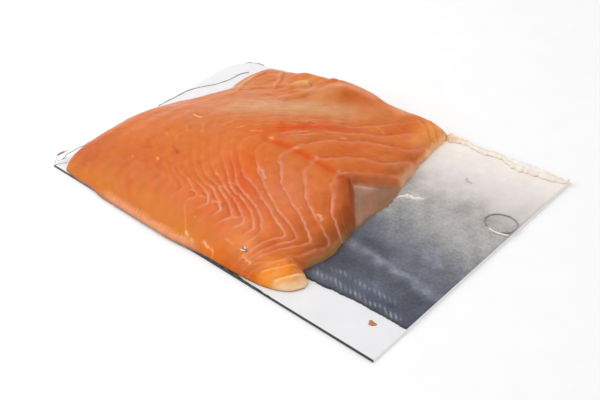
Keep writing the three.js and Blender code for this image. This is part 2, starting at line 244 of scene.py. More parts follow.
SKIN_THICKNESS = 1.0
SKIN_EDGE = 0.35
SKIN_BACK = 184.2
SKIN_INSET = 0.2
SKIN_UNDER_FLESH = 5
SKIN_START = 20
SKIN_FINE_FROM = 196.0
SKIN_HIDDEN_COLUMNS = 30
SKIN_STEP = 0.55
SKIN_BARE_DEPTH = 160
SKIN_ROWS = int(SKIN_BARE_DEPTH / SKIN_STEP)
SCALE_PITCH = 3.0
SCALE_ROW = 2.4
SCALE_RELIEF = 0.09
# Painted highlights on two rows of scales that catch the lamp: y, first and last x, strength.
SCALE_GLINT_ROWS = ((30.6, 230, 296, 0.80), (38.5, 236, 286, 0.50))
SCALE_GLINT_PITCH = 3.6


def curve_slopes(at, value):
    """The slope of a smooth curve at each of its points. A value may be a whole array."""
    span = np.diff(at)
    rise = [(value[i + 1] - value[i]) / span[i] for i in range(len(span))]
    inner = [(rise[i - 1] * span[i] + rise[i] * span[i - 1]) / (at[i + 1] - at[i - 1])
             for i in range(1, len(span))]
    return rise[:1] + inner + rise[-1:]


def curve_between(value_0, value_1, slope_0, slope_1, span, s):
    """The smooth curve from one point to the next, at the share s of the span."""
    start = (2 * s ** 3 - 3 * s ** 2 + 1) * value_0 + (s ** 3 - 2 * s ** 2 + s) * span * slope_0
    end = (3 * s ** 2 - 2 * s ** 3) * value_1 + (s ** 3 - s ** 2) * span * slope_1
    return start + end


def smooth_curve(*pairs):
    """A smooth curve through the given (position, value) pairs, level beyond its ends."""
    at, value = (np.array(column, float) for column in zip(*pairs))
    span, slope = np.diff(at), np.array(curve_slopes(at, value))

    def curve(position):
        t = np.clip(position, at[0], at[-1])
        i = np.clip(np.searchsorted(at, t, side="right") - 1, 0, len(span) - 1)
        return curve_between(value[i], value[i + 1], slope[i], slope[i + 1], span[i], (t - at[i]) / span[i])

    return curve


def ease(low, high, value):
    """From 0 at the low value to 1 at the high one, with a soft start and end."""
    t = np.clip((value - low) / (high - low), 0, 1)
    return t * t * (3 - 2 * t)


def fade(low, high, value):
    """From 1 at the low value to 0 at the high one."""
    return 1 - ease(low, high, value)


def stretch(value, a, b, c, d):
    """Rises from 0 at a to 1 at b, stays there up to c and is back at 0 at d."""
    return ease(a, b, value) * fade(c, d, value)


def band(distance, width):
    """A smooth ridge, 1 where the distance is 0 and near 0 past the width."""
    return np.exp(-(distance / width) ** 2)


def ripples(x, y, wavelength, seed, waves=7):
    """Smooth uneven waves of about this length, roughly from -1 to 1."""
    draw = np.random.default_rng(seed)
    total = np.zeros_like(x, dtype=float)
    for _ in range(waves):
        angle, start = draw.uniform(0, 2 * np.pi, 2)
        length = wavelength * draw.uniform(0.7, 1.5)
        total += np.sin((x * np.cos(angle) + y * np.sin(angle)) * 2 * np.pi / length + start)
    return total / math.sqrt(waves)


def sheet_faces(rows, columns):
    """The four-sided faces of a grid of points stored row by row, seen from above."""
    corner = (np.arange(rows - 1)[:, None] * columns + np.arange(columns - 1)).ravel()
    return np.stack([corner, corner + 1, corner + 1 + columns, corner + columns], 1).tolist()


def rim_of(rows, columns):
    """The outer points of such a grid, anticlockwise from the front left."""
    front = list(range(columns))
    right = [row * columns + columns - 1 for row in range(1, rows)]
    back = [(rows - 1) * columns + column for column in range(columns - 2, -1, -1)]
    left = [row * columns for row in range(rows - 2, 0, -1)]
    return front + right + back + left


def closed_sheet(x, y, top, bottom):
    """Points and faces of a slab: a fine top, side walls and one flat face underneath."""
    rows, columns = x.shape
    points = np.stack([x, y, top], -1).reshape(-1, 3)
    rim = rim_of(rows, columns)
    foot = points[rim].copy()
    foot[:, 2] = np.broadcast_to(bottom, x.shape).reshape(-1)[rim]
    base = len(points)
    faces = sheet_faces(rows, columns)
    for i in range(len(rim)):
        j = (i + 1) % len(rim)
        faces.append([base + i, base + j, rim[j], rim[i]])
    faces.append([base + i for i in reversed(range(len(rim)))])
    return np.concatenate([points, foot]), faces


def set_tone(piece, name, tones, count):
    """Stores a linear colour for each top point. The points below take the last one."""
    mesh = piece.data
    layer = mesh.color_attributes.new(name, "FLOAT_COLOR", "POINT")
    tones = tones.reshape(-1, 3)
    tones = np.concatenate([tones, np.repeat(tones[-1:], len(mesh.vertices) - count, 0)])
    colours = np.concatenate([tones, np.ones((len(tones), 1))], 1)
    layer.data.foreach_set("color", colours.astype(np.float32).ravel())


def plain_tone(x, colour):
    """The same colour at every point of x."""
    return np.broadcast_to(np.array(linear(colour)[:3]), x.shape + (3,))


def wash(tone, *layers):
    """Lays colours over the tones one by one, each as strongly as its weight says."""
    for colour, weight in layers:
        tone = tone + (np.array(linear(colour)[:3]) - tone) * np.clip(weight, 0, 1)[..., None]
    return tone


def path_distance(x, y, path):
    """The distance to a path of straight parts, positive on its right-hand side."""
    nearest = np.full(np.shape(x), 1e9)
    for (x0, y0), (x1, y1) in zip(path, path[1:]):
        run, rise = x1 - x0, y1 - y0
        share = np.clip(((x - x0) * run + (y - y0) * rise) / (run ** 2 + rise ** 2), 0, 1)
        away = np.hypot(x - x0 - share * run, y - y0 - share * rise)
        side = np.where((x - x0) * rise - (y - y0) * run < 0, -1.0, 1.0)
        nearest = np.where(away < np.abs(nearest), away * side, nearest)
    return nearest


def lay_patches(tone, x, y, patches):
    """Soft patches of colour: centre x and y, reach along and across, turn in degrees from
    the x axis, colour, strength."""
    cloud = ripples(x, y, 28.0, 51)
    for at_x, at_y, reach, width, turn, colour, strength in patches:
        c, s = math.cos(math.radians(turn)), math.sin(math.radians(turn))
        along, across = (x - at_x) * c + (y - at_y) * s, (y - at_y) * c - (x - at_x) * s
        weight = strength * band(along, reach) * band(across, width) * (1 + 0.15 * cloud)
        tone = wash(tone, (colour, weight))
    return tone


skin_front = smooth_curve((10, 9), (120, 6), (180, 12), (215, 25), (232, 24), (262, 26.5), (300, 27))
left_side = smooth_curve((0, 17), (5, 11), (12, 6.2), (22, 3.6), (45, 3), (70, 5.4), (90, 11.6), (110, 19.5),
                         (125, 28), (134, 32), (141, 33.5), (148, 31), (160, 30), (170, 32), (186, 36))

# The colours of the skin over y, from the back of the fish at the front to its belly.
SKIN_SHADES = ((24, "#4c4e5a"), (36, "#565967"), (47, "#50515d"), (60, "#63656f"), (75, "#6c6e78"),
               (85, "#7c7d84"), (95, "#949494"), (105, "#a5a3a2"), (115, "#b0acaa"), (125, "#b3aeaa"),
               (134, "#cbc5c1"), (145, "#dfd8d3"), (155, "#e8e0dc"), (165, "#f1e9e2"), (178, "#fbf2ea"))
SKIN_PATCHES = (
    (243, 68, 14, 5, -8, "#484a55", 0.75), (240, 49, 15, 6, 0, "#484a56", 0.7),
    (274, 66, 14, 6, 0, "#70737f", 0.6), (266, 41, 13, 6, 0, "#6e7282", 0.6),
    (286, 36, 14, 6, 10, "#484c5b", 0.7), (272, 84, 18, 6, 0, "#85868f", 0.5),
    (277, 103, 20, 8, 0, "#b4b1af", 0.7), (277, 126, 18, 6, 0, "#aaa5a2", 0.55),
    (232, 119, 7, 4, 0, "#cac6c2", 0.6), (234, 103, 9, 6, 0, "#949290", 0.6),
    (292, 140, 9, 12, 0, "#d2ccc8", 0.5), (240, 30, 16, 3.5, 5, "#767c8c", 0.5),
)


def scale_relief(x, y):
    """Rounded steps, one row of scales after another, each row half a scale further on."""
    shift = (np.floor(y / SCALE_ROW) % 2) * 0.5
    bow = 0.25 * SCALE_ROW * np.sin(np.pi * (x / SCALE_PITCH + shift) % np.pi)
    row_share = ((y + bow) / SCALE_ROW) % 1.0
    steps = SCALE_RELIEF * (ease(0.0, 0.75, row_share) - ease(0.8, 1.0, row_share) - 0.5)
    return steps * (0.6 + 0.4 * ripples(x, y, 7.0, 5)) * (1 - 0.8 * ease(110, 135, y))


def scrap_share(x, y):
    """A thin scrap of white fat that was left on the skin beside the flesh."""
    off = path_distance(x, y, ((225.5, 112), (229, 116.2), (233.4, 116), (236.8, 118.2)))
    return band(off * (1 + 0.4 * ripples(x, y, 3.0, 19)), 1.0)


def skin_tone(x, y, low):
    """The colours of the skin: its shades over y, two pale streaks, painted highlights on two rows of scales,
    small stains and a painted shadow along the front edge, which is at low."""
    line = y + 0.16 * (x - 245) * band(y - 90, 24)
    line = line + 2.6 * ripples(x, y, 26.0, 8) + 1.2 * ripples(x, y, 8.0, 14)
    at, shades = zip(*[(at, linear(shade)[:3]) for at, shade in SKIN_SHADES])
    tone = np.stack([np.interp(line, at, channel) for channel in zip(*shades)], -1)
    tone = lay_patches(tone, x, y, SKIN_PATCHES)
    first = band(y - 60.5 + 0.09 * (x - 236) - 1.2 * ripples(x, y, 22.0, 9), 2.6) * ease(220, 228, x)
    second = band(y - 77 - 1.5 * ripples(x, y, 24.0, 10), 2.6) * ease(246, 258, x)
    tone = wash(tone, ("#8e93a2", first * (0.62 + 0.30 * ripples(x, y, 13.0, 15))),
                ("#8f919e", second * (0.22 + 0.25 * ripples(x, y, 12.0, 16))))
    # Painted highlights: pale ticks where the rows of scales catch the lamp.
    for row_y, first_x, last_x, strength in SCALE_GLINT_ROWS:
        leaning = (x + 1.1 * (y - row_y)) / SCALE_GLINT_PITCH % 1.0
        tick = band(leaning - 0.5, 0.17) * band(y - row_y - 0.6 * ripples(x, y, 14.0, 17), 1.5)
        shown = stretch(x, first_x - 4, first_x + 4, last_x - 6, last_x + 3)
        shown = shown * (0.75 + 0.3 * ripples(x, y, 9.0, 11))
        tone = wash(tone, ("#b4bac8", strength * tick * shown))
    mottle = 0.5 * ripples(x, y, 2.4, 12, 12) + 0.5 * ripples(x, y, 6.0, 13, 9)
    blotch = ripples(x, y, 15.0, 18, 9)
    tone = tone * (1 + (0.10 * mottle + 0.07 * blotch) * (1 - 0.85 * ease(112, 150, line)))[..., None]
    beside_scrap = path_distance(x, y, ((225, 109), (236, 114)))
    brown_thread = path_distance(x, y, ((247.5, 151), (249, 149), (252.5, 148.5)))
    olive_speck = path_distance(x, y, ((291.5, 75), (294, 75.5)))
    return wash(tone, ("#f6f0ea", 0.9 * scrap_share(x, y)), ("#c2b4a4", 0.3 * band(beside_scrap, 1.2)),
                ("#a88a68", 0.6 * band(brown_thread, 0.7)), ("#585a44", 0.6 * band(olive_speck, 1.2)),
                # Painted shadow: the first millimetre and a half of the skin behind its front edge goes near
                # black.
                ("#26262c", fade(0.0, 1.5, y - low) * 0.9))


def build_skin(material):
    """A slab whose grid is coarse under the flesh and fine where the skin is bare."""
    right = BOARD_LENGTH - SKIN_INSET
    hidden = np.linspace(SKIN_START, SKIN_FINE_FROM, SKIN_HIDDEN_COLUMNS, endpoint=False)
    across = np.concatenate([hidden, np.arange(SKIN_FINE_FROM, right, SKIN_STEP), [right]])
    along = np.linspace(0, 1, SKIN_ROWS)
    x = np.broadcast_to(across, (len(along), len(across))).copy()
    ragged = 0.3 * ripples(x, x * 0, 9.0, 3) + 0.12 * ripples(x, x * 0, 2.5, 4)
    low = skin_front(x) + ragged * ease(200, 225, x)
    y = low + (SKIN_BACK - low) * along[:, None]
    to_left = np.clip((SKIN_FINE_FROM - x) / (SKIN_FINE_FROM - SKIN_START), 0, 1)
    x = x + to_left * (left_side(y) + SKIN_UNDER_FLESH - SKIN_START)
    swell = 0.18 * ripples(x, y, 34.0, 6) + 0.06 * ripples(x, y, 9.0, 7)
    swell = swell * (1 - 0.5 * ease(115, 140, y))
    edge = np.minimum(np.minimum(y - low, SKIN_BACK - y), right - x)
    rounding = np.sqrt(np.clip(1 - (1 - np.clip(edge / SKIN_THICKNESS, 0, 1)) ** 2, 0, 1))
    fine = ease(SKIN_FINE_FROM - 2, SKIN_FINE_FROM + 4, x)
    relief = (scale_relief(x, y) + swell + 0.5 * scrap_share(x, y)) * fine * rounding
    top = BOARD_TOP + SKIN_EDGE + (SKIN_THICKNESS - SKIN_EDGE) * rounding + relief
    points, faces = closed_sheet(x, y, top, BOARD_TOP + 0.02)
    piece = make_piece("salmon_skin", points, faces, material, "skin")
    set_tone(piece, "skin_tone", skin_tone(x, y, low), x.size)
    return piece


# Fresh fish skin, wet under the film: slate and silver pigment with a clear shine over it.
wet_skin, tree, place = new_material("wet_salmon_skin")
tone_in = add_node(tree, "ShaderNodeVertexColor", layer_name="skin_tone")
specks = add_node(tree, "ShaderNodeTexNoise", {"Vector": place, "Scale": 650.0, "Detail": 3.0})
speck = add_node(tree, "ShaderNodeMapRange", {0: specks, 1: 0.3, 2: 0.7, 3: -0.17, 4: 0.15})
paleness = add_node(tree, "ShaderNodeRGBToBW", {0: tone_in})
speck_share = add_node(tree, "ShaderNodeMapRange", {0: paleness, 1: 0.25, 2: 0.6, 3: 1.0, 4: 0.2})
speck_tone = add_node(tree, "ShaderNodeMath", {0: speck, 1: speck_share, 2: 1.0}, operation="MULTIPLY_ADD")
pigment = add_node(tree, "ShaderNodeVectorMath", {0: tone_in, "Scale": speck_tone}, operation="SCALE")
pores = add_node(tree, "ShaderNodeBump", {"Height": specks, "Strength": 0.25, "Distance": 0.0001})
hide = add_node(tree, "ShaderNodeBsdfPrincipled", {
    "Base Color": pigment, "Roughness": 0.42, "Specular IOR Level": 0.2, "Coat Weight": 0.12,
    "Coat Roughness": 0.2, "Normal": pores})
add_node(tree, "ShaderNodeOutputMaterial", {"Surface": hide})
skin = build_skin(wet_skin)


# ---- Belly lining ------------------------------------------------------------------------
# A thin pale membrane from the belly wall that stays behind on the skin along the back edge:
# a wavy translucent strip with a thicker fold near the right end.

LINING_START = 210.5
LINING_END = BOARD_LENGTH - 0.4
LINING_COLUMNS = 300
LINING_ROWS = 14


def build_lining(material):
    """A wavy strip that is thin at both long edges and widest at the fold."""
    across = np.linspace(LINING_START, LINING_END, LINING_COLUMNS)
    along = np.linspace(0, 1, LINING_ROWS)
    x = np.broadcast_to(across, (LINING_ROWS, LINING_COLUMNS)).copy()
    share = np.broadcast_to(along[:, None], x.shape)
    patch, near_flesh = band(x - 274, 12), band(x - 212, 14)
    width = 5.2 + 4.2 * patch + 0.9 * np.sin(x / 4.1) + 0.6 * ripples(x, x * 0, 5.0, 21)
    outer = SKIN_BACK + 0.3 * np.sin(x / 4.3) + 0.25 * ripples(x, x * 0, 4.0, 22)
    y = outer - width * (1 - share)
    ridge = 1.5 + 1.7 * near_flesh + 0.9 * patch + 0.35 * ripples(x, x * 0, 9.0, 24)
    folds = 0.30 * np.sin(x / 3.3 + 4 * share) + 0.22 * ripples(x, y * 3, 6.0, 23)
    body = np.sin(np.pi * np.clip(share, 0.02, 0.99) ** 1.5) ** 0.6
    top = BOARD_TOP + SKIN_THICKNESS + 0.35 + body * np.maximum(ridge + folds, 0.3)
    points, faces = closed_sheet(x, y, top, BOARD_TOP + SKIN_THICKNESS + 0.05)
    piece = make_piece("belly_membrane", points, faces, material, "belly_lining")
    torn_edge = fade(0.0, 0.12, share) * (0.5 + 0.4 * ripples(x, x * 0, 7.0, 25))
    crease = band(share - 0.45 - 0.1 * np.sin(x / 9), 0.07) * 0.7 * (1 - patch)
    tone = wash(plain_tone(x, "#f7ebe0"), ("#fffaf4", body ** 4 * 0.8), ("#d9b48c", torn_edge),
                ("#e3c3a0", crease), ("#eebd8c", fade(LINING_START, 226, x) * 0.7))
    set_tone(piece, "lining_tone", tone, x.size)
    return piece


# Belly membrane: a wet, waxy white film of fat, cream where it folds and peach at the flesh.
membrane, tree, place = new_material("wet_belly_membrane")
tone_in = add_node(tree, "ShaderNodeVertexColor", layer_name="lining_tone")
fat_grain = add_node(tree, "ShaderNodeTexNoise", {"Vector": place, "Scale": 500.0})
fat_bump = add_node(tree, "ShaderNodeBump", {"Height": fat_grain, "Strength": 0.3, "Distance": 0.0001})
fat = add_node(tree, "ShaderNodeBsdfPrincipled", {
    "Base Color": tone_in, "Roughness": 0.4, "Subsurface Weight": 0.2,
    "Subsurface Radius": (0.003, 0.002, 0.001), "Subsurface Scale": 1.0, "Normal": fat_bump})
add_node(tree, "ShaderNodeOutputMaterial", {"Surface": fat})
lining = build_lining(membrane)


# ---- Flesh -------------------------------------------------------------------------------
# The smoked side itself, sliced but still lying in its own shape: orange muscle in blocks
# that lean in chevrons, parted by white seams of fat, with a rounded rim, a lobe of pale fat
# at the front right and softer layered folds along the back.

FLESH_EDGE = 1.0
FLESH_COLUMNS = 338
FLESH_ROWS = 266
ROUND_LEFT = 20.0
ROUND_RIGHT = 14.0
ROUND_FRONT = 26.0
ROUND_BACK = 9.0
FLAP_EDGE = 0.4
FLAP_SLOPE = 0.21
FRONT_OVERHANG = 2.3
SEAM_DEPTH = 0.35
BLOCK_SWELL = 0.25

STATION_X = (0, 25, 60, 90, 125, 155, 190, 235)
STATION_ROWS = (
    (0, (5, 7, 9, 10, 9, 9, 8, 7)),
    (30, (8, 13, 18, 20, 19, 18, 14, 9)),
    (70, (9, 15, 23, 25, 25, 22, 16, 11)),
    (110, (6, 8.5, 18.5, 24, 24, 21, 15, 9)),
    (150, (4, 5, 10.5, 16, 19, 15, 11, 6)),
    (180, (4, 5, 8, 12.5, 19, 13.5, 10.5, 7)),
)

front_side = smooth_curve((0, 8), (8, 3), (20, 0.8), (60, 0.3), (150, 0.3), (180, 1.2), (200, 2.0),
                          (215, 3.8), (225, 7), (232, 12), (235, 17))
right_curve = smooth_curve((17, 235), (22, 232.5), (26, 225), (29, 225), (35, 227), (45, 228.6), (58, 226.6),
                           (72, 224.8), (88, 224.2), (105, 224.4), (125, 219.4), (160, 212.2), (175, 211),
                           (186, 209))
back_side = smooth_curve((0, 165), (30, 181), (45, 183.2), (90, 183.7), (150, 183.5), (205, 183), (235, 180))


def right_side(y):
    """The end from which the slices were cut: the curve, slightly ragged."""
    y = np.asarray(y, dtype=float)
    ragged = 0.45 * ripples(y, y * 0, 5.0, 71) + 0.2 * ripples(y, y * 0, 2.2, 73)
    return right_curve(y) + ragged * ease(30, 36, y)


def shoulder(distance, radius):
    """How far a point is up the rounded shoulder that starts at a side, from 0 to 1."""
    s = np.clip(distance / radius, 0, 1)
    return np.sqrt(np.clip(1 - (1 - s) ** 2, 0, 1))


def station_thickness(x, y):
    """The thickness between the stations, smooth both ways."""
    at = [row for row, _ in STATION_ROWS]
    rows = [smooth_curve(*zip(STATION_X, values))(x) for _, values in STATION_ROWS]
    slope = curve_slopes(np.array(at, float), rows)
    here = np.clip(y, at[0], at[-1])
    total = np.zeros_like(x)
    for i, span in enumerate(np.diff(at)):
        inside = (here >= at[i]) & ((here < at[i + 1]) | (at[i + 1] == at[-1]))
        s = np.clip((here - at[i]) / span, 0, 1)
        part = curve_between(rows[i], rows[i + 1], slope[i], slope[i + 1], span, s)
        total = np.where(inside, part, total)
    return total


# How far a seam has moved to the right by each depth below the upper crest: the early ones
# at the left run straight, the late ones first drop and then sweep away.
early_lean = smooth_curve((0, 0), (10, 4), (21, 11), (36, 27), (42.5, 34), (52, 49.5), (56, 60), (63, 72.5),
                          (69, 80.5))
middle_lean = smooth_curve((0, 0), (12, -1), (15, 0.5), (21, 4.5), (27.6, 11.5), (32.7, 17), (38, 25),
                           (42, 32), (45.6, 39.5), (49, 48), (52.5, 58), (57.5, 70.5), (62.5, 80))
late_lean = smooth_curve((0, 0), (6, -1.5), (12, -1.5), (18, 3), (24, 9), (31, 18), (36, 26), (41, 36),
                         (45, 46), (50, 57), (56, 66), (63, 73))

# The number of the seam that starts at each x of the upper crest.
seam_number = smooth_curve((20, 13), (71, 19), (79.7, 20), (88.3, 21), (96.6, 22), (105.6, 23), (113.6, 24),
                           (126.1, 25), (139.4, 26), (156.2, 27), (173.7, 28), (192.5, 29), (214, 30),
                           (240, 31.2))

# Knots of white fat on the upper crest, and how steeply the seams behind it rise and bend.
SEAM_SPOTS = (138, 157, 173, 192)
rise_start = smooth_curve((100, 0.10), (125, 0.34), (138, 0.45), (157, 0.14), (173, 0.58), (192, 1.60),
                          (205, 2.10))
rise_bend = smooth_curve((100, 0.0085), (125, 0.0092), (138, 0.0085), (157, 0.0165), (173, 0.0108),
                         (192, -0.0165), (205, -0.025))


def upper_crest(x):
    """Where the blocks of the back and of the belly meet, along the middle of the side."""
    return 83 + 11.5 * ease(95, 180, x)


def lower_crest(x):
    """Where the seams turn back, near the front edge and rising towards the right end."""
    return 24 + 23 * np.clip((x - 186) / 42, 0, 1) ** 1.4


def seam_count(x, y):
    """The white seams lie where this is a whole number. Each leaves the upper crest, along
    the middle of the side, both ways to the right and turns back at the lower crest."""
    wavy = x + 0.8 * ripples(x, y, 26.0, 31) + 0.3 * ripples(x, y, 7.0, 32)
    y = y + 0.8 * ripples(x, y, 30.0, 33) + 0.25 * ripples(x, y, 6.0, 34)
    x = wavy
    upper, lower = upper_crest(x), lower_crest(x)
    turned = 0.5 * (lower - y + np.hypot(lower - y, 1.5))
    below = np.maximum(np.maximum(upper - y, 0) - turned, 0)
    above = np.maximum(y - upper, 0)
    arc = np.minimum(above, 50)
    bunch = 9 * np.exp(-np.maximum(right_side(y) - x, 0) / 5) * ease(85, 110, y) * (above > 0)
    seen = x + bunch + (0.6 + 1.0 * ease(186, 208, x)) * turned
    start = seen.copy()
    for _ in range(12):
        middle, late = ease(110, 126, start), ease(140, 156, start)
        forward = early_lean(below) * (1 - middle) + middle_lean(below) * middle
        forward = forward * (1 - late) + late_lean(below) * late
        forward = forward + (2 + 3 * ease(165, 192, start)) * ease(152, 172, start) * ease(0, 10, below)
        upward = rise_start(start) * arc + rise_bend(start) * arc ** 2 + 0.8 * (above - arc)
        start = start + 0.6 * (seen - forward - upward - start)
    count = seam_number(start) - 0.33 * band(x - 203, 12) * band(y - 126, 9)
    count = count + 0.5 * band(x - 215, 6) * band(y - 150, 12)
    return count + 0.17 * ease(28.3, 28.75, count) * ease(0, 4, above)


def seam_pitch(x, y):
    """The distance in millimetres between one seam and the next."""
    step = 0.2
    here = seam_count(x, y)
    across = (seam_count(x + step, y) - here) / step
    along = (seam_count(x, y + step) - here) / step
    return 1 / np.clip(np.hypot(across, along), 0.02, 2)


def crest_band(x, y):
    """The soft line of red muscle where the blocks meet, between the ends of the seams."""
    between = 1 - 0.9 * sum(band(x - spot, 2.2) for spot in SEAM_SPOTS)
    return band(y - upper_crest(x) + 2.0, 2.9) * between * stretch(x, 128, 140, 203, 207)


def near_crest(x, y):
    """How near a place is to the upper ends of the lower seams, where they blur."""
    depth = upper_crest(x) - y
    return ease(146, 158, x) * fade(8, 30, depth) * ease(-0.5, 0.5, depth)


def seam_share(x, y):
    """How strongly the seams show, from 0 to 1."""
    upper, lower = upper_crest(x), lower_crest(x)
    place = x + 0.2 * (60 - y)
    middle = 0.04 + 0.13 * ease(80, 106, place) + 0.23 * ease(104, 124, place)
    middle = middle + 0.42 * ease(122, 142, place)
    legs = 0.62 * ease(180, 196, x) * (1 - 0.6 * ease(9, 20, lower - y))
    front = np.maximum(middle * fade(0, 9, lower - y) * fade(184, 200, x), legs)
    back = 0.58 * ease(128, 160, x - 0.3 * np.maximum(y - 95, 0))
    share = np.where(y < lower, np.minimum(middle, front), np.where(y > upper, back, middle))
    share = share * (1 - 0.9 * np.clip(1.3 * crest_band(x, y), 0, 1))
    share = share * (1 - 0.5 * near_crest(x, y))
    return share * ease(30, 70, x) * (1 - 0.75 * ease(150, 172, y))


def seam_width(x, y):
    """Half the width of a seam in millimetres: hairlines at the left, thick at the right."""
    middle = ease(132, 158, x + 0.35 * (60 - y))
    soft = ease(0, 8, y - upper_crest(x))
    return 0.28 + 0.38 * middle + 0.7 * soft + 0.9 * near_crest(x, y)


flap_top = smooth_curve((190, 95.5), (196, 98), (209, 106.5), (220, 119))


def past_middle(x, y):
    """The distance to the right of the straight cut that ends the thick middle."""
    return 0.72 * (x - 206) + 0.69 * (y - 92)


def flap_share(x, y):
    """The wedge at the right end where only a lower, thin flap of muscle is left."""
    return ease(-3.0, 0.3, past_middle(x, y)) * ease(-3.0, 0.3, flap_top(x) - y)


def flap_floor(x, y):
    """The flap itself, inside the foot of the walls around it."""
    return ease(-0.9, 0.3, past_middle(x, y)) * ease(-0.9, 0.3, flap_top(x) - y)


def streaks(x, y):
    """Fine parallel layers of fat, three millimetres apart, that cross the middle of the
    side on the slant: their count, and how strongly they show."""
    across = (x - y) / math.sqrt(2) + 0.9 * ripples(x, y, 40.0, 61) + 0.25 * ripples(x, y, 12.0, 62)
    count = across / 3.1 + 0.35 * ripples(across, across * 0, 9.0, 63)
    above = y - upper_crest(x)
    share = stretch(above, 4, 16, 48, 62) * stretch(x, 42, 66, 142, 176)
    return count, share * (0.75 + 0.35 * ripples(x, y, 18.0, 64))


def flesh_sides(x, y):
    """How far in a point lies from the left, right, front and back side."""
    return x - left_side(y), right_side(y) - x, y - front_side(x), back_side(x) - y


def flesh_height(x, y):
    """Height of the flesh over the board's top face, and 0 outside it."""
    left, right, front, back = flesh_sides(x, y)
    rounding = shoulder(left, ROUND_LEFT) * shoulder(right, ROUND_RIGHT)
    rounding = rounding * shoulder(front, ROUND_FRONT) * shoulder(back, ROUND_BACK - 4 * ease(165, 200, x))
    whole = station_thickness(x, y) * rounding
    flap = flap_share(x, y)
    thickness = whole * (1 - flap) + np.minimum(whole, FLAP_EDGE + FLAP_SLOPE * right) * flap
    inside = np.minimum(np.minimum(left, right), np.minimum(front, back)) >= -0.001
    return np.where(inside, FLESH_EDGE + thickness, 0)


# Low swellings and two dips along the back: centre x and y, reach both ways, rise.
SWELLINGS = ((134, 166, 22, 11, 1.3), (86, 176, 12, 9, 2.2), (52, 180, 13, 11, -2.6), (146, 180, 11, 11, 1.8),
             (109, 181, 5, 8, -1.6))

# Where the layers along the back end, as a curve of y over x.
lobe_line = smooth_curve((46, 126), (60, 131), (79, 143), (92, 150), (104, 156), (112, 165), (119, 178),
                         (122, 186))

# The rounded ends of thin layers, as low ridges along paths: path, rise, half width, colour, strength of the
# colour and of the painted shade in the dip beside the ridge.
LAYER_ENDS = (
    (((43, 168), (42.5, 160), (45, 148), (50, 139), (58, 131)), 0.8, 1.3, "#e0a060", 0.6),
    (((56, 177), (61, 170), (70, 160.6), (76, 151), (82, 145)), 0.8, 1.1, "#e0a478", 0.55),
    (((113, 174), (108.5, 164), (109.5, 154), (108, 146), (104, 134)), 1.0, 2.2, "#dc9468", 0.5),
    (((190, 174.6), (199, 171), (207, 164)), 0.4, 0.8, "#ea9650", 0.6),
    (((195, 178.5), (203, 174.4), (209.5, 168.5)), 0.4, 0.7, "#f0a24c", 0.6),
    (((201, 180), (207, 177), (210.5, 173)), 0.4, 0.8, "#f6b468", 0.6),
    (((222, 8), (228, 15.4), (230.5, 20)), 0.5, 0.7, "#ffc47e", 0.6),
    (((211, 8), (220, 16), (225, 22)), 0.4, 0.7, "#fab060", 0.55),
    (((203, 9), (212, 15), (219, 21)), 0.3, 0.7, "#f09c4c", 0.4),
)

CURL_MIDDLE = (95.5, 157.0)
CURL_REACH = 9.5
CURL_HALF_WIDTH = 4.3
CURL_ANGLE = math.radians(44)
CURL_RISE = 3.5


def along_curl(x, y):
    """The distance along the curl and across it, from its middle."""
    c, s = math.cos(CURL_ANGLE), math.sin(CURL_ANGLE)
    x, y = x - CURL_MIDDLE[0], y - CURL_MIDDLE[1]
    return x * c + y * s, y * c - x * s


def curl_share(x, y):
    """The curled end of one slice: a short tongue that stands up from the back layers,
    blunt at its right end and running out at its left."""
    along, across = along_curl(x, y)
    across = across + 0.035 * (along + 2) ** 2
    inside = np.clip(1 - (across / CURL_HALF_WIDTH) ** 2, 0, 1)
    return np.sqrt(inside) * stretch(along, -CURL_REACH - 4, 1, CURL_REACH - 2.5, CURL_REACH)


def lobe_distance(x, y):
    """How far behind the uneven edge of the back layers a point lies."""
    return y - lobe_line(x) + 1.4 * ripples(x, y, 17.0, 44)


def layer_steps(x, y):
    """Steps where thin layers end: along the back, at the right tip and in the front lobe."""
    past_lobe = lobe_distance(x, y)
    lobe_edge = 0.9 * band(past_lobe - 5, 5) - 0.25 * band(past_lobe + 0.4, 2.0)
    hollow = 0.5 * band(y - 149 - 0.2 * (x - 130), 5) * (x > 112)
    total = lobe_edge * stretch(x, 44, 56, 110, 118) - hollow + CURL_RISE * curl_share(x, y)
    for at_x, at_y, reach_x, reach_y, rise in SWELLINGS:
        total = total + rise * band(np.hypot((x - at_x) / reach_x, (y - at_y) / reach_y), 1)
    for path, rise, width, _, _ in LAYER_ENDS:
        off = path_distance(x, y, path)
        total = total + rise * band(off, 1.6 * width) - 0.5 * rise * band(off + 2.2 * width, width)
    return total


def flesh_relief(x, y):
    """Fine relief: grooves along the seams, swelling blocks, layer ends and unevenness."""
    left, right, front, back = flesh_sides(x, y)
    count = seam_count(x, y)
    off_seam = np.abs(count - np.round(count))
    share = seam_share(x, y) * (1 - flap_floor(x, y))
    groove = -SEAM_DEPTH * band(off_seam * seam_pitch(x, y), 1.1)
    swell = BLOCK_SWELL * (np.sin(np.pi * off_seam) ** 2 - 0.5)
    crest = -0.4 * crest_band(x, y)
    streak_count, streak_share = streaks(x, y)
    fat_layers = 0.10 * np.cos(2 * np.pi * streak_count) * streak_share
    soft = 0.25 * ripples(x, y, 22.0, 41) + 0.10 * ripples(x, y, 7.0, 42) + 0.04 * ripples(x, y, 2.6, 43)
    away = np.clip(np.minimum(np.minimum(left, right), np.minimum(front, back)) / 5, 0, 1)
    return ((groove + swell) * share + crest + fat_layers + soft + layer_steps(x, y)) * away


def flesh_plan(across, along):
    """The plan position of the flesh's own grid, found by closing in on its four sides."""
    x = 10 + 220 * across
    y = 3 + 180 * along
    for _ in range(40):
        x = x + 0.7 * (left_side(y) + (right_side(y) - left_side(y)) * across - x)
        y = y + 0.7 * (front_side(x) + (back_side(x) - front_side(x)) * along - y)
    return x, y


def droop_share(x):
    """Where the front rim droops over the edge of the board, from 0 to 1."""
    return stretch(x, 40, 66, 128, 170)


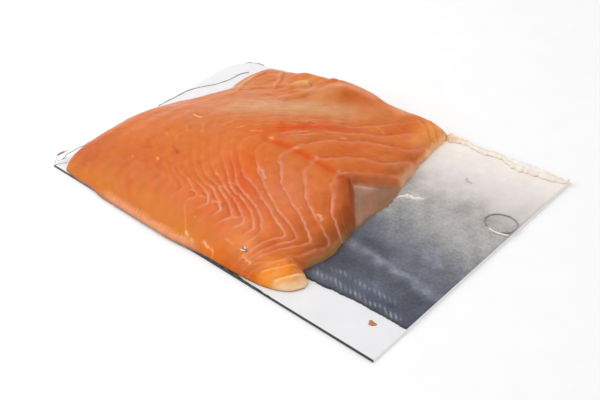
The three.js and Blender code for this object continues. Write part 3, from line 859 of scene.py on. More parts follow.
def overhang(x, y, z):
    """The front rim bulges over the board's edge and droops past it."""
    share = droop_share(x)
    y = y - FRONT_OVERHANG * share * np.exp(-np.maximum(y, 0) / 4)
    z = z - 1.3 * share * np.exp(-np.maximum(z - BOARD_TOP, 0) / 1.2)
    return y, z


# The rows that close the front rim, from its edge downwards: where they stand on the board,
# as y past the front side and height, and where they curl in under the droop.
RIM_ROWS = ((0.02, 0.62, -0.20, 0.45), (0.04, 0.30, 0.15, -0.15), (0.06, 0.03, 1.10, -0.35),
            (0.08, 0.0, 2.30, -0.10))


def tuck_under(x, y, z):
    """Adds rows in front that close the rim downwards and, where it droops over the edge of
    the board, curl it back in against the board's cut edge."""
    share = droop_share(x[0])
    for back_in, height, tucked_in, tucked_height in RIM_ROWS:
        new_y = (front_side(x[0]) + back_in) * (1 - share) + (0.3 - FRONT_OVERHANG + tucked_in) * share
        new_z = BOARD_TOP + height * (1 - share) + (tucked_height - 0.45) * share
        x, y, z = np.vstack([x[:1], x]), np.vstack([new_y, y]), np.vstack([new_z, z])
    return x, y, z


# Broad patches of colour, laid as those of the skin.
FLESH_PATCHES = (
    (64, 20, 44, 22, 0, "#c65e18", 0.7), (28, 11, 18, 9, 15, "#bf5a1c", 0.85),
    (168, 38, 42, 22, 30, "#dc6210", 0.8), (34, 28, 12, 6, 15, "#ca6830", 0.6),
    (18, 25, 18, 8, 70, "#bf5404", 0.85), (15, 5, 5, 4, 0, "#d88018", 0.7), (50, 4, 30, 5, 0, "#cf7826", 0.7),
    (112, 7, 60, 8, 0, "#d5791f", 0.7), (148, 3, 22, 4, 0, "#d87a10", 0.8),
    (42, 95, 14, 40, 0, "#d4743c", 0.6), (80, 78, 26, 12, 10, "#d57c46", 0.6),
    (126, 62, 16, 24, 0, "#e47c3c", 0.6), (146, 60, 12, 16, 30, "#e8640c", 0.8),
    (159, 40, 18, 8, -30, "#e04800", 0.8), (184, 58, 24, 20, -30, "#e88e62", 0.6),
    (182, 26, 12, 9, 30, "#f08c54", 0.6), (192, 13, 10, 6, 0, "#ffa254", 0.65),
    # The dark brown patches at x 206 to 224 and y 42 to 67 are painted shade on the right end, which faces
    # away from the lamp.
    (206, 67, 10, 10, -50, "#c45c1c", 0.7), (212, 42, 12, 8, -60, "#b85a18", 0.8),
    (224, 42, 6, 12, 0, "#9c5020", 0.8), (206, 22, 10, 6, 0, "#cc5c10", 0.7),
    (182, 118, 16, 8, 45, "#d15e1a", 0.6), (197, 104, 8, 6, 40, "#c86428", 0.6),
    (206, 118, 12, 7, 40, "#bc5c1c", 0.7), (214, 127, 8, 6, 60, "#bc7848", 0.7),
    (206, 138, 10, 5, 50, "#c0602a", 0.7), (206, 160, 9, 9, 0, "#f0a064", 0.75),
    (188, 162, 14, 8, 45, "#d26010", 0.8), (124, 131, 52, 11, 42, "#dba478", 0.88),
    (140, 140, 22, 7, 30, "#d8955c", 0.6), (92, 108, 30, 11, 42, "#dc9c72", 0.7),
    (74, 82, 26, 9, 25, "#d06c38", 0.7), (62, 154, 9, 16, 20, "#ca6a10", 0.85),
    (68, 146, 6, 4, 0, "#d07c38", 0.6), (43, 153, 6, 13, 0, "#e2a066", 0.6),
    (97, 172, 12, 7, 30, "#dc8840", 0.75), (122, 156, 16, 12, 30, "#d68a50", 0.75),
    (138, 164, 10, 9, 30, "#bf5a0a", 0.85), (58, 159, 9, 5, 50, "#dc7414", 0.75),
    (76, 158, 10, 5, 20, "#e07c24", 0.7), (50, 139, 6, 4, -50, "#e4a248", 0.75),
    (103, 114, 28, 4, 42, "#e0ac7c", 0.5), (130, 131, 22, 4, 42, "#dba672", 0.5),
    (202, 166, 8, 12, 0, "#f08c40", 0.5), (148, 169, 8, 8, 0, "#cc6420", 0.6),
    (168, 164, 14, 10, 30, "#d27634", 0.7), (174, 177, 10, 4, 10, "#e6a476", 0.8),
    (204, 175, 8, 9, 10, "#f8a858", 0.8), (200, 3, 18, 5, 3, "#d66400", 0.85),
    (182, 4, 16, 5, 0, "#e26e00", 0.7),
)

# Small marks, from one point to another: short ends of fat, blood spots and cuts. Start x
# and y, end x and y, half width, colour, strength.
FLESH_MARKS = (
    (127, 90, 135, 101, 4.2, "#dd5c14", 0.8), (135, 101, 144, 113, 4.4, "#dc520a", 0.95),
    (144, 113, 158, 129, 4.2, "#d84e0c", 0.95), (158, 129, 168, 138, 3, "#d2581c", 0.7),
    (88, 46.2, 97.6, 42.6, 0.61, "#b03c0a", 0.75), (65.6, 36.2, 73.6, 38.2, 0.48, "#c0481c", 0.5),
    (69.2, 39.8, 75.2, 37.8, 0.48, "#b8481c", 0.5), (65.2, 46.6, 70.4, 44.2, 0.48, "#a85a2a", 0.5),
    (42.8, 43.4, 46.4, 40.6, 0.41, "#b05428", 0.4), (79.6, 27.8, 82.8, 26.2, 0.41, "#ac5024", 0.4),
    (78, 68.6, 82.4, 66.2, 0.48, "#a8582a", 0.6), (157.2, 27.8, 159.2, 26.6, 0.54, "#7c3c14", 0.8),
    (75.6, 14.2, 85.2, 7.4, 1.7, "#cc5220", 0.35), (114, 44.6, 118, 44.2, 0.41, "#b85218", 0.45),
    (86.8, 83, 89.2, 85.8, 0.41, "#b06034", 0.4), (45.6, 0.2, 48.4, 0.2, 0.48, "#8a4a50", 0.6),
    (70.8, 79, 78.4, 79, 0.54, "#f6c8a0", 0.85), (61.6, 79, 61.2, 83, 0.54, "#f0ae88", 0.6),
    (70.4, 74.2, 71.6, 76.6, 0.48, "#eda988", 0.6), (86, 33.4, 88.8, 32.2, 0.41, "#ffc48e", 0.8),
    (65.6, 27, 68.4, 25.8, 0.41, "#f2a878", 0.5), (70.4, 54.2, 74.4, 52.6, 0.41, "#f2a06c", 0.5),
    (81.6, 54.2, 82, 58.2, 0.41, "#f0a070", 0.5), (81.6, 54.2, 86.4, 51, 0.41, "#ee9c68", 0.4),
    (81.2, 64.2, 84.8, 62.2, 0.41, "#f0a070", 0.45), (87.6, 73.4, 95.2, 65.8, 0.48, "#ee9c6a", 0.5),
    (99.6, 79.4, 102.4, 86.2, 0.41, "#ee9c60", 0.55), (102.4, 86.2, 106.8, 93, 0.41, "#ea945c", 0.4),
    (111.2, 83.4, 113.2, 86.2, 0.54, "#f4a66c", 0.6), (113.2, 86.2, 114.4, 93.4, 0.41, "#ee9a60", 0.4),
    (122, 87, 128, 90.6, 0.54, "#f4a65c", 0.65), (120.4, 31.4, 124.4, 29.8, 0.48, "#f2a060", 0.55),
    (129.2, 24.6, 130, 27.4, 0.48, "#f0a67c", 0.55), (139.2, 25, 143.6, 25.8, 0.61, "#f0a470", 0.5),
    (133.6, 44.2, 136.4, 43.4, 0.54, "#f4a26a", 0.55), (147.2, 42.2, 153.6, 43.8, 0.61, "#f4a66c", 0.6),
    (144.4, 45.8, 150, 45.4, 0.54, "#e6780c", 0.6), (145.2, 37, 148.4, 38.6, 0.61, "#ee9e6a", 0.5),
    (150, 26.6, 155.2, 27.8, 0.61, "#f2aa76", 0.65), (134.4, 15.8, 146, 5.4, 0.41, "#eea05c", 0.5),
    (146.4, 5, 149.6, 3.8, 0.61, "#f8c896", 0.8), (152.8, 3.4, 155.6, 2.2, 0.54, "#f4b480", 0.7),
    (163.2, 5, 168.4, 3.8, 0.68, "#f8c08c", 0.8), (170.8, 3.8, 173.2, 3.4, 0.54, "#f4b880", 0.6),
    (166.8, 21.4, 174, 27, 0.48, "#f2a27a", 0.5), (193.6, 9.4, 200, 9, 0.61, "#f8bc86", 0.6),
    (176.4, 12.2, 182.8, 11.8, 0.54, "#f2aa6a", 0.5), (82, 126, 92, 131, 1.2, "#c4602e", 0.5),
    (36, 21.8, 38.4, 21.8, 0.41, "#c0501c", 0.4), (210.8, 8.2, 220.4, 15.8, 0.48, "#f6b060", 0.5),
    (221.6, 8.2, 228, 16.2, 0.54, "#fbd08c", 0.7), (228, 16.2, 231.2, 21.8, 0.54, "#fcd69c", 0.7),
    (231.2, 21.8, 233.2, 21, 0.54, "#f8cc94", 0.7), (210, 12.6, 220.4, 23.4, 0.48, "#ee9a58", 0.5),
    (230, 51.4, 229.6, 63, 0.54, "#b08858", 0.5), (139.6, 98.2, 145.6, 107.8, 1.4, "#e08a68", 0.5),
    (145.6, 107.8, 149.2, 110.2, 0.54, "#eda684", 0.6), (169.2, 121.8, 171.2, 124.2, 0.54, "#f8a680", 0.7),
    (164, 119, 166, 121.4, 0.48, "#e85a20", 0.5), (185.6, 137, 190.8, 137.8, 0.54, "#b84a28", 0.6),
    (195.6, 141, 200.4, 140.2, 0.68, "#b84a30", 0.6), (197.2, 131.4, 201.2, 134.6, 0.48, "#a85424", 0.6),
    (173.6, 151, 182.4, 148.6, 0.48, "#ee9a4c", 0.6), (154.8, 63.8, 163.2, 59, 0.68, "#f0b8a0", 0.6),
    (196, 52.2, 197.6, 55.8, 0.48, "#e8a470", 0.6), (208.8, 57.8, 213.6, 56.2, 0.68, "#f4b8a0", 0.7),
)

# The cut fat that rims the right end: colour, first and last y, width.
RIM_TONES = (("#c4a078", 98, 121, 3.6), ("#f0c49e", 121, 139, 4.2), ("#e4a878", 139, 153, 2.2),
             ("#ffcc98", 153, 200, 2.8))


def block_tone(x, y):
    """The colours inside the side: patches, with painted shade among them at the right end, streaks of fat,
    painted light just past each seam and painted shade just before the next, and the red line of the crest."""
    tone = lay_patches(plain_tone(x, "#d8712c"), x, y, FLESH_PATCHES)
    streak_count, streak_share = streaks(x, y)
    wave = 0.5 * np.cos(2 * np.pi * streak_count)
    patchy = 0.65 + 0.35 * ripples(x, y, 16.0, 65)
    block, pitch, share = seam_count(x, y) % 1.0, seam_pitch(x, y), seam_share(x, y)
    behind = ease(0, 6, y - upper_crest(x))
    return wash(
        tone, ("#e0a070", 0.7 * streak_share * patchy * (0.5 + wave) ** 1.5),
        ("#c4662e", 0.3 * streak_share * (0.5 - wave)),
        # Painted light and shade on each block: lighter just past a seam, darker just before the next.
        ("#de7844", share * (0.65 + 0.25 * behind) * np.exp(-block * pitch / (3.0 + 1.4 * behind))),
        ("#bd4a0c", share * (0.4 + 0.4 * behind) * np.exp(-(1 - block) * pitch / 3.0)),
        ("#dc4c00", crest_band(x, y) * (0.85 - 0.35 * ease(192, 200, x))))


def layer_tone(tone, x, y, fine, rough):
    """Colours of what lies on the blocks: knots of fat, layer ends with painted shade beside them, the curl
    with a painted shadow past its end, marks and painted shade along the front rim near the right end.
    """
    _, _, front, back = flesh_sides(x, y)
    for spot_x in SEAM_SPOTS:
        off = np.hypot(x - spot_x, y - upper_crest(np.float64(spot_x)) - 0.5)
        tone = wash(tone, ("#f2a478", 0.8 * band(off * (1 + 0.3 * rough), 1.4)))
    past_lobe, on_lobe = lobe_distance(x, y), stretch(x, 44, 56, 104, 112)
    hump = path_distance(x, y, ((99, 153), (107, 152), (112, 155), (114, 161), (118, 167), (125, 171),
                                (134, 174), (152, 175)))
    fat = ease(203, 219, x + 0.6 * fine) * fade(14, 22, y - 1.5 * fine)
    pale = path_distance(x, y, ((226, 5.5), (231, 9.5), (235, 15), (235, 20)))
    tone = wash(
        tone, ("#d89258", band(past_lobe + 2.0, 2.4) * on_lobe * 0.45),
        ("#b8661c", band(past_lobe - 1.4, 1.6) * on_lobe * 0.22),
        ("#e09c78", 0.65 * band(back - 2.5, 3.0) * stretch(x, 40, 48, 196, 204)),
        ("#f2c09c", 0.8 * band(back - 0.8, 2.4) * stretch(x, 38, 44, 84, 96)),
        ("#eaa682", 0.6 * band(hump, 3.4)),
        # Painted shade: deeper orange along the front rim towards the right end.
        ("#c85e04", 0.6 * fade(3, 13, front) * stretch(x, 172, 188, 208, 216)),
        ("#f99620", 0.9 * fat), ("#ffdcb0", 0.95 * band(pale, 4.6)))
    for path, _, width, colour, strength in LAYER_ENDS:
        off = path_distance(x, y, path)
        tone = wash(tone, (colour, strength * band(off * (1 + 0.3 * fine), width) * (0.8 + 0.2 * rough)),
                    # Painted shade in the dip beside each layer end.
                    ("#b85a10", 0.4 * strength * band(off + 2.2 * width, width)))
    # Painted shadow just past the curl's blunt right end.
    curl_end_shadow = band(path_distance(x, y, ((98, 163), (104, 158))), 3.0)
    beyond = band(along_curl(x, y)[0] - CURL_REACH - 1.2, 1.4) * curl_end_shadow
    tone = wash(tone, ("#e8a868", curl_share(x, y) ** 1.5 * 0.95), ("#a8561c", beyond * 0.7))
    for x0, y0, x1, y1, width, colour, strength in FLESH_MARKS:
        off = path_distance(x, y, ((x0, y0), (x1, y1))) * (1 + 0.2 * fine + 0.35 * rough)
        tone = wash(tone, (colour, strength * band(off, width)))
    return tone


def edge_tone(tone, x, y, fine, rough):
    """Colours of the right end with its walls and flap, with painted shade on the steep end of the middle and
    near the right side, the wall painted lighter against its own shade, and of the rims.
    """
    _, right, front, _ = flesh_sides(x, y)
    beside, under = past_middle(x, y), flap_top(x) - y
    flap = flap_floor(x, y)
    wall = np.clip(flap_share(x, y) - flap, 0, 1)
    fibre = 0.5 + 0.5 * np.cos(beside * 1.9 + 1.3 * ripples(x, y, 18.0, 66))
    tone = wash(
        # Painted shade on the steep end of the thick middle.
        tone, ("#983e0c", 0.8 * stretch(beside, -15, -2, 2, 5) * stretch(y, 44, 54, 93, 99)),
        # Painted light: the wall is lifted to the block's orange against the shade it lies in.
        ("#dc6a34", 0.7 * wall * ease(-1, 1, beside)),
        # Painted shade near the right side, on the end that faces away from the lamp.
        ("#984812", 0.6 * fade(3, 14, right) * stretch(y, 38, 50, 72, 80)),
        ("#a67a60", flap), ("#c8a086", 0.8 * flap * fade(3, 10, under)),
        ("#c8a288", 0.8 * flap * band(np.hypot(x - 216, y - 110), 6)),
        ("#c29a80", flap * (0.55 * band(beside - 2.0, 2.4) + 0.20 * fibre * (0.6 + 0.4 * fine))),
        ("#e4c2a6", 0.85 * flap * band(under - 1.4 - 0.5 * rough, 1.1)),
        ("#8c6248", 0.7 * flap * ease(6, 17, beside)),
        ("#9a7a50", 0.6 * fade(0.2, 2.2, right) * stretch(y, 26, 34, 92, 100)),
        ("#6c5c50", 0.7 * flap * fade(0.8, 3.0, right) * stretch(y, 68, 73, 84, 92)))
    for colour, low, high, width in RIM_TONES:
        share = fade(0.4, width, right + 0.4 * rough) * stretch(y, low - 3, low + 3, high - 3, high + 3)
        tone = wash(tone, (colour, 0.88 * share * (1 - flap)))
    return wash(
        tone, ("#c08850", 0.7 * fade(0.3, 2.4, right) * stretch(y, 27, 32, 56, 66)),
        ("#eea47a", 0.7 * fade(0.8, 3.6, front + 0.5 * rough) * stretch(x, 56, 76, 150, 166)),
        # The skin's purplish edge at the foot of the front rim, deepened with painted shade.
        ("#8f6452", 0.6 * fade(0.0, 0.6, front) * fade(165, 190, x)))


def flesh_tone(x, y):
    """The colours of the side, from the pale left end to the deep orange right end."""
    fine, rough = ripples(x, y, 9.0, 52), ripples(x, y, 3.0, 53)
    tone = layer_tone(block_tone(x, y), x, y, fine, rough)
    return edge_tone(tone, x, y, fine, rough) * (1 + 0.03 * fine)[..., None]


def build_flesh(material):
    """The side on a grid that follows its four sides and is finer towards them."""
    u = np.linspace(0, 1, FLESH_COLUMNS)
    v = np.linspace(0, 1, FLESH_ROWS)
    across, along = np.meshgrid(u - 0.05 * np.sin(2 * np.pi * u), v - 0.05 * np.sin(2 * np.pi * v))
    x, y = flesh_plan(across, along)
    top = BOARD_TOP + np.maximum(flesh_height(x, y) + flesh_relief(x, y), SKIN_THICKNESS + 0.35)
    drooped_x, drooped_y, drooped_z = tuck_under(x, *overhang(x, y, top))
    extra_rows = len(drooped_x) - len(x)
    x, y = np.vstack([x[:1]] * extra_rows + [x]), np.vstack([y[:1]] * extra_rows + [y])
    under_skin = (x > left_side(y) + 5) & (y > skin_front(x)) & (y < SKIN_BACK)
    bottom = np.minimum(BOARD_TOP + np.where(under_skin, SKIN_THICKNESS - 0.1, 0.03), drooped_z - 0.01)
    points, faces = closed_sheet(drooped_x, drooped_y, drooped_z, bottom)
    piece = make_piece("salmon_side", points, faces, material, "flesh")
    tones = flesh_tone(x, y)
    # The rows that close the front rim downwards: the skin's purplish edge under the rim, darkened with
    # painted shade.
    tones[:extra_rows] = wash(tones[:extra_rows], ("#7d5348", np.full((extra_rows, x.shape[1]), 0.6)))
    set_tone(piece, "flesh_tone", tones, x.size)
    seam_colours = wash(plain_tone(x, "#ee8238"), ("#e69a7a", ease(136, 156, x + 0.35 * (60 - y))),
                        ("#dc8a62", ease(0, 8, y - upper_crest(x))))
    set_tone(piece, "seam_tone", seam_colours, x.size)
    seams = {"seam_count": seam_count(x, y), "seam_pitch": seam_pitch(x, y), "seam_width": seam_width(x, y),
             "seam_share": seam_share(x, y) * (1 - flap_floor(x, y))}
    for name, values in seams.items():
        layer = piece.data.attributes.new(name, "FLOAT", "POINT")
        extra = np.full(len(points) - x.size, values.ravel()[-1])
        layer.data.foreach_set("value", np.concatenate([values.ravel(), extra]).astype(np.float32))
    return piece


# Cold-smoked salmon: oily, half translucent muscle. The seams are thin sheets of white fat,
# drawn from how far each point is from the nearest seam in millimetres.
smoked_muscle, tree, place = new_material("cold_smoked_salmon_muscle")
tone_in = add_node(tree, "ShaderNodeVertexColor", layer_name="flesh_tone")
count_in = add_node(tree, "ShaderNodeAttribute", attribute_name="seam_count")
pitch_in = add_node(tree, "ShaderNodeAttribute", attribute_name="seam_pitch")
share_in = add_node(tree, "ShaderNodeAttribute", attribute_name="seam_share")
width_in = add_node(tree, "ShaderNodeAttribute", attribute_name="seam_width")
wander = add_node(tree, "ShaderNodeTexNoise", {"Vector": place, "Scale": 320.0, "Detail": 3.0})
uneven = add_node(tree, "ShaderNodeMapRange", {0: wander, 1: 0.3, 2: 0.7, 3: -0.28, 4: 0.28})
past_seam = add_node(tree, "ShaderNodeMath", {0: count_in.outputs["Fac"]}, operation="FRACT")
before_seam = add_node(tree, "ShaderNodeMath", {0: 1.0, 1: past_seam}, operation="SUBTRACT")
sides = []
for share, near, far in ((past_seam, 0.5, 2.6), (before_seam, 0.1, 1.2)):
    distance = add_node(tree, "ShaderNodeMath", {0: share, 1: pitch_in.outputs["Fac"]}, operation="MULTIPLY")
    ragged = add_node(tree, "ShaderNodeMath", {0: distance, 1: uneven}, operation="ADD")
    in_widths = add_node(tree, "ShaderNodeMath", {0: ragged, 1: width_in.outputs["Fac"]}, operation="DIVIDE")
    sides.append(add_node(tree, "ShaderNodeMapRange", {
        0: in_widths, 1: near, 2: far, 3: 1.0, 4: 0.0}, interpolation_type="SMOOTHSTEP"))
line = add_node(tree, "ShaderNodeMath", {0: sides[0], 1: sides[1]}, operation="MAXIMUM")
broken = add_node(tree, "ShaderNodeTexNoise", {"Vector": place, "Scale": 110.0, "Detail": 3.0})
patchy = add_node(tree, "ShaderNodeMapRange", {0: broken, 1: 0.32, 2: 0.62, 3: 0.25, 4: 1.0})
line_shown = add_node(tree, "ShaderNodeMath", {0: line, 1: share_in.outputs["Fac"]}, operation="MULTIPLY")
line_mix = add_node(tree, "ShaderNodeMath", {0: line_shown, 1: patchy}, operation="MULTIPLY")
strand_count = add_node(tree, "ShaderNodeMath", {
    0: count_in.outputs["Fac"], 1: 3.0, 2: broken}, operation="MULTIPLY_ADD")
strand = add_node(tree, "ShaderNodeMath", {0: strand_count, 1: 0.5}, operation="PINGPONG")
strand_line = add_node(tree, "ShaderNodeMapRange", {
    0: strand, 1: 0.02, 2: 0.14, 3: 0.16, 4: 0.0}, interpolation_type="SMOOTHSTEP")
strand_shown = add_node(tree, "ShaderNodeMath", {
    0: strand_line, 1: share_in.outputs["Fac"]}, operation="MULTIPLY")
all_lines = add_node(tree, "ShaderNodeMath", {0: line_mix, 1: strand_shown}, operation="MAXIMUM")
seam_in = add_node(tree, "ShaderNodeVertexColor", layer_name="seam_tone")
with_seams = add_node(tree, "ShaderNodeMix", {0: all_lines, 6: tone_in, 7: seam_in}, data_type="RGBA")
mottle = add_node(tree, "ShaderNodeTexNoise", {"Vector": place, "Scale": 240.0, "Detail": 4.0})
mottled = add_node(tree, "ShaderNodeMix", {
    0: 0.35, 6: with_seams.outputs[2],
    7: mottle.outputs["Color"]}, data_type="RGBA", blend_type="SOFT_LIGHT")
fibres = add_node(tree, "ShaderNodeTexNoise", {"Vector": place, "Scale": 900.0, "Detail": 2.0})
fibre_bump = add_node(tree, "ShaderNodeBump", {"Height": fibres, "Strength": 0.25, "Distance": 0.0001})
muscle = add_node(tree, "ShaderNodeBsdfPrincipled", {
    "Base Color": mottled.outputs[2], "Roughness": 0.36, "Specular IOR Level": 0.09,
    "Subsurface Weight": 0.2, "Subsurface Radius": (0.004, 0.0014, 0.0006), "Subsurface Scale": 1.0,
    "Coat Weight": 0.08, "Coat Roughness": 0.12, "Normal": fibre_bump})
add_node(tree, "ShaderNodeOutputMaterial", {"Surface": muscle})
flesh = build_flesh(smoked_muscle)


# ---- Skin edge ---------------------------------------------------------------------------
# The lower edge of the fillet's own skin: a wet strip, half a millimetre thick, that shows between the flesh
# and the board's front edge where the flesh has drawn back a little. It is coloured near black, darker than
# the skin, as painted shadow under the flesh's front rim.

SKIN_EDGE_FROM, SKIN_EDGE_TO = 150, 224
SKIN_EDGE_COLUMNS, SKIN_EDGE_ROWS = 160, 9


def build_skin_edge(material):
    """A strip with a rounded top that narrows to nothing at its right end."""
    along, share = np.meshgrid(np.linspace(SKIN_EDGE_FROM, SKIN_EDGE_TO, SKIN_EDGE_COLUMNS),
                               np.linspace(0, 1, SKIN_EDGE_ROWS))
    low = 0.2 + 0.2 * ripples(along, along * 0, 6.0, 72)
    high = np.minimum(front_side(along) + 1.2, 2.4 - 1.5 * ease(186, 206, along))
    high = high * fade(214, SKIN_EDGE_TO, along)
    y = low + (np.maximum(high, low + 0.2) - low) * share
    rounding = np.sqrt(np.clip(1 - (2 * share - 1) ** 2, 0, 1))
    points, faces = closed_sheet(along, y, BOARD_TOP + 0.1 + 0.4 * rounding, BOARD_TOP + 0.02)
    piece = make_piece("skin_edge_with_painted_shadow", points, faces, material)
    # Painted shadow: the skin's dark grey deepened to near black.
    tone = wash(plain_tone(along, "#24211f"), ("#4c4845", 0.5 + 0.5 * ripples(along, y, 5.0, 74)))
    set_tone(piece, "skin_tone", tone, along.size)
    return piece


skin_edge = build_skin_edge(wet_skin)


# ---- Crumb -------------------------------------------------------------------------------
# One crumb of smoked fish, a few millimetres across, that came off with the knife. It lies
# loose on the front of the board and is held there by the film.

CRUMB_PLACE = (282.6, 19.6)
CRUMB_RADIUS = 2.0
CRUMB_HEIGHT = 0.7
CRUMB_STEPS = 21


def build_crumb(material):
    """A low lump with a lobed outline: a square grid that is drawn in to a disc."""
    u, v = np.meshgrid(np.linspace(-1, 1, CRUMB_STEPS), np.linspace(-1, 1, CRUMB_STEPS))
    disc_x, disc_y = u * np.sqrt(1 - v ** 2 / 2), v * np.sqrt(1 - u ** 2 / 2)
    angle, reach = np.arctan2(disc_y, disc_x), np.hypot(disc_x, disc_y)
    lobes = 1 + 0.22 * np.sin(2 * angle + 1.9) + 0.18 * np.sin(3 * angle + 0.6) + 0.10 * np.sin(5 * angle)
    x, y = (place + CRUMB_RADIUS * lobes * part for place, part in zip(CRUMB_PLACE, (disc_x, disc_y)))
    lumps = CRUMB_HEIGHT * np.sqrt(np.clip(1 - reach ** 2, 0, 1)) * (1 + 0.3 * ripples(x, y, 1.6, 71))
    points, faces = closed_sheet(x, y, BOARD_TOP + 0.05 + lumps, BOARD_TOP + 0.01)
    return make_piece("fish_crumb", points, faces, material)


def specked_finish(name, dark, light, speck_scale, roughness, detail=2.0):
    """A material whose colour wanders between two tones over fine specks."""
    material, tree, place = new_material(name)
    specks = add_node(tree, "ShaderNodeTexNoise", {"Vector": place, "Scale": speck_scale, "Detail": detail})
    tone = add_node(tree, "ShaderNodeMix", {0: specks, 6: linear(dark), 7: linear(light)}, data_type="RGBA")
    gloss = add_node(tree, "ShaderNodeBsdfPrincipled", {
        "Base Color": tone.outputs[2], "Roughness": roughness})
    add_node(tree, "ShaderNodeOutputMaterial", {"Surface": gloss})
    return material


# Dried shred of the same muscle: browner and duller than the side.
dried_muscle = specked_finish("dried_salmon_crumb", "#9a4e1c", "#d89a6c", 900.0, 0.6, detail=3.0)
crumb = build_crumb(dried_muscle)


# ---- Film --------------------------------------------------------------------------------
# Clear film drawn down over everything and sealed to the board. It clings to the fish, and
# spans to the board a little way out from the foot of the flesh at the left end. It is an
# open sheet of vacuum film, let down over what it covers by averaging pass after pass.

FILM_STEP = 1.25
FILM_THICKNESS = 0.12
FILM_LIFT = 0.25
FILM_INSET = 0.15
TENT_PASSES = 260
CORNER_PUFF = 6.2

# Where the film meets the board at the left end, as a curve of x over y.
seal_line = smooth_curve((0, 0.4), (60, 0.4), (100, 0.6), (111, 1.5), (123, 2.5), (132, 6.5), (140, 12.5),
                         (152, 18), (167, 20.5), (172, 25), (185, 30))


def film_need(x, y):
    """The least height of the film over the board: just over what lies there."""
    on_skin = (x > left_side(y) + SKIN_UNDER_FLESH) & (y > skin_front(x) - 1.2) & (y < SKIN_BACK + 1)
    lining_here = (x > LINING_START) & (y > SKIN_BACK - 11)
    need = np.where(on_skin, SKIN_THICKNESS + 0.35, 0.0) + np.where(lining_here, 2.6, 0.0)
    flesh_here = flesh_height(x, y)
    need = np.maximum(need, np.where(flesh_here > 0, flesh_here + flesh_relief(x, y) + FILM_LIFT, 0))
    off_crumb = np.hypot(x - CRUMB_PLACE[0], y - CRUMB_PLACE[1])
    need = np.maximum(need, 1.2 * band(off_crumb, 1.5 * CRUMB_RADIUS))
    for axis, way in ((0, -1), (0, 1), (1, -1), (1, 1)):
        need = np.maximum(need, np.roll(need, way, axis) - 0.8)
    return need


def build_film(material):
    """The film over the whole board, slack beside the left end, puffed up at the near left
    corner and drawn in to the board's rounded corner."""
    across = np.linspace(FILM_INSET, BOARD_LENGTH - FILM_INSET, int(BOARD_LENGTH / FILM_STEP))
    along = np.linspace(FILM_INSET, BOARD_DEPTH - FILM_INSET, int(BOARD_DEPTH / FILM_STEP))
    x, y = np.meshgrid(across, along)
    need = film_need(x, y)
    slack_here = (x > seal_line(y)) & (x < left_side(y) + 30)
    height = need.copy()
    for _ in range(TENT_PASSES):
        middle = height.copy()
        middle[1:-1, 1:-1] = (height[:-2, 1:-1] + height[2:, 1:-1] + height[1:-1, :-2] + height[1:-1, 2:]) / 4
        height = np.where(slack_here, np.maximum(need, middle), height)
    pleats = 0.55 + 0.45 * np.abs(np.sin(0.55 * x - 0.42 * y))
    height = height + CORNER_PUFF * band(x, 6) * band(y - 10, 8) * pleats
    moved, low = overhang(x, y, BOARD_TOP + 0.05 + height)
    points = np.stack([x, moved, low + FILM_THICKNESS], -1).reshape(-1, 3)
    middle = np.array([BOARD_CORNER, BOARD_DEPTH - BOARD_CORNER])
    off = points[:, :2] - middle
    away, reach = np.hypot(*off.T), BOARD_CORNER - FILM_INSET
    past_corner = (off[:, 0] < 0) & (off[:, 1] > 0) & (away > reach)
    pull = np.where(past_corner, reach / np.maximum(away, 0.1), 1.0)
    points[:, :2] = middle + off * pull[:, None]
    return make_piece("clear_film", points, sheet_faces(*x.shape), material, "film")


# Clear multilayer film: thin, glossy and almost without colour.
clear_film, tree, place = new_material("clear_vacuum_film")
slack = add_node(tree, "ShaderNodeTexNoise", {"Vector": place, "Scale": 120.0, "Detail": 2.0})
slack_bump = add_node(tree, "ShaderNodeBump", {"Height": slack, "Strength": 0.3, "Distance": 0.0006})
plastic = add_node(tree, "ShaderNodeBsdfPrincipled", {
    "Base Color": linear("#484848"), "Roughness": 0.06, "Alpha": 0.02, "Normal": slack_bump})
add_node(tree, "ShaderNodeOutputMaterial", {"Surface": plastic})
film = build_film(clear_film)


# ---- Film folds --------------------------------------------------------------------------
# Where the film leaves the board, doubles over at the near left corner or traps an air bubble, a fine thread
# follows the fold: grey as painted shade, white as a painted glint, or pinkish brown with juice.
# Each call names a piece, its paths, the thread's radius and how far its course wanders.

THREAD_STEP = 0.9
THREAD_SIDES = 8
SKIN_TOP = SKIN_THICKNESS + 0.45
SPARKLE = (191.4, 12.8)


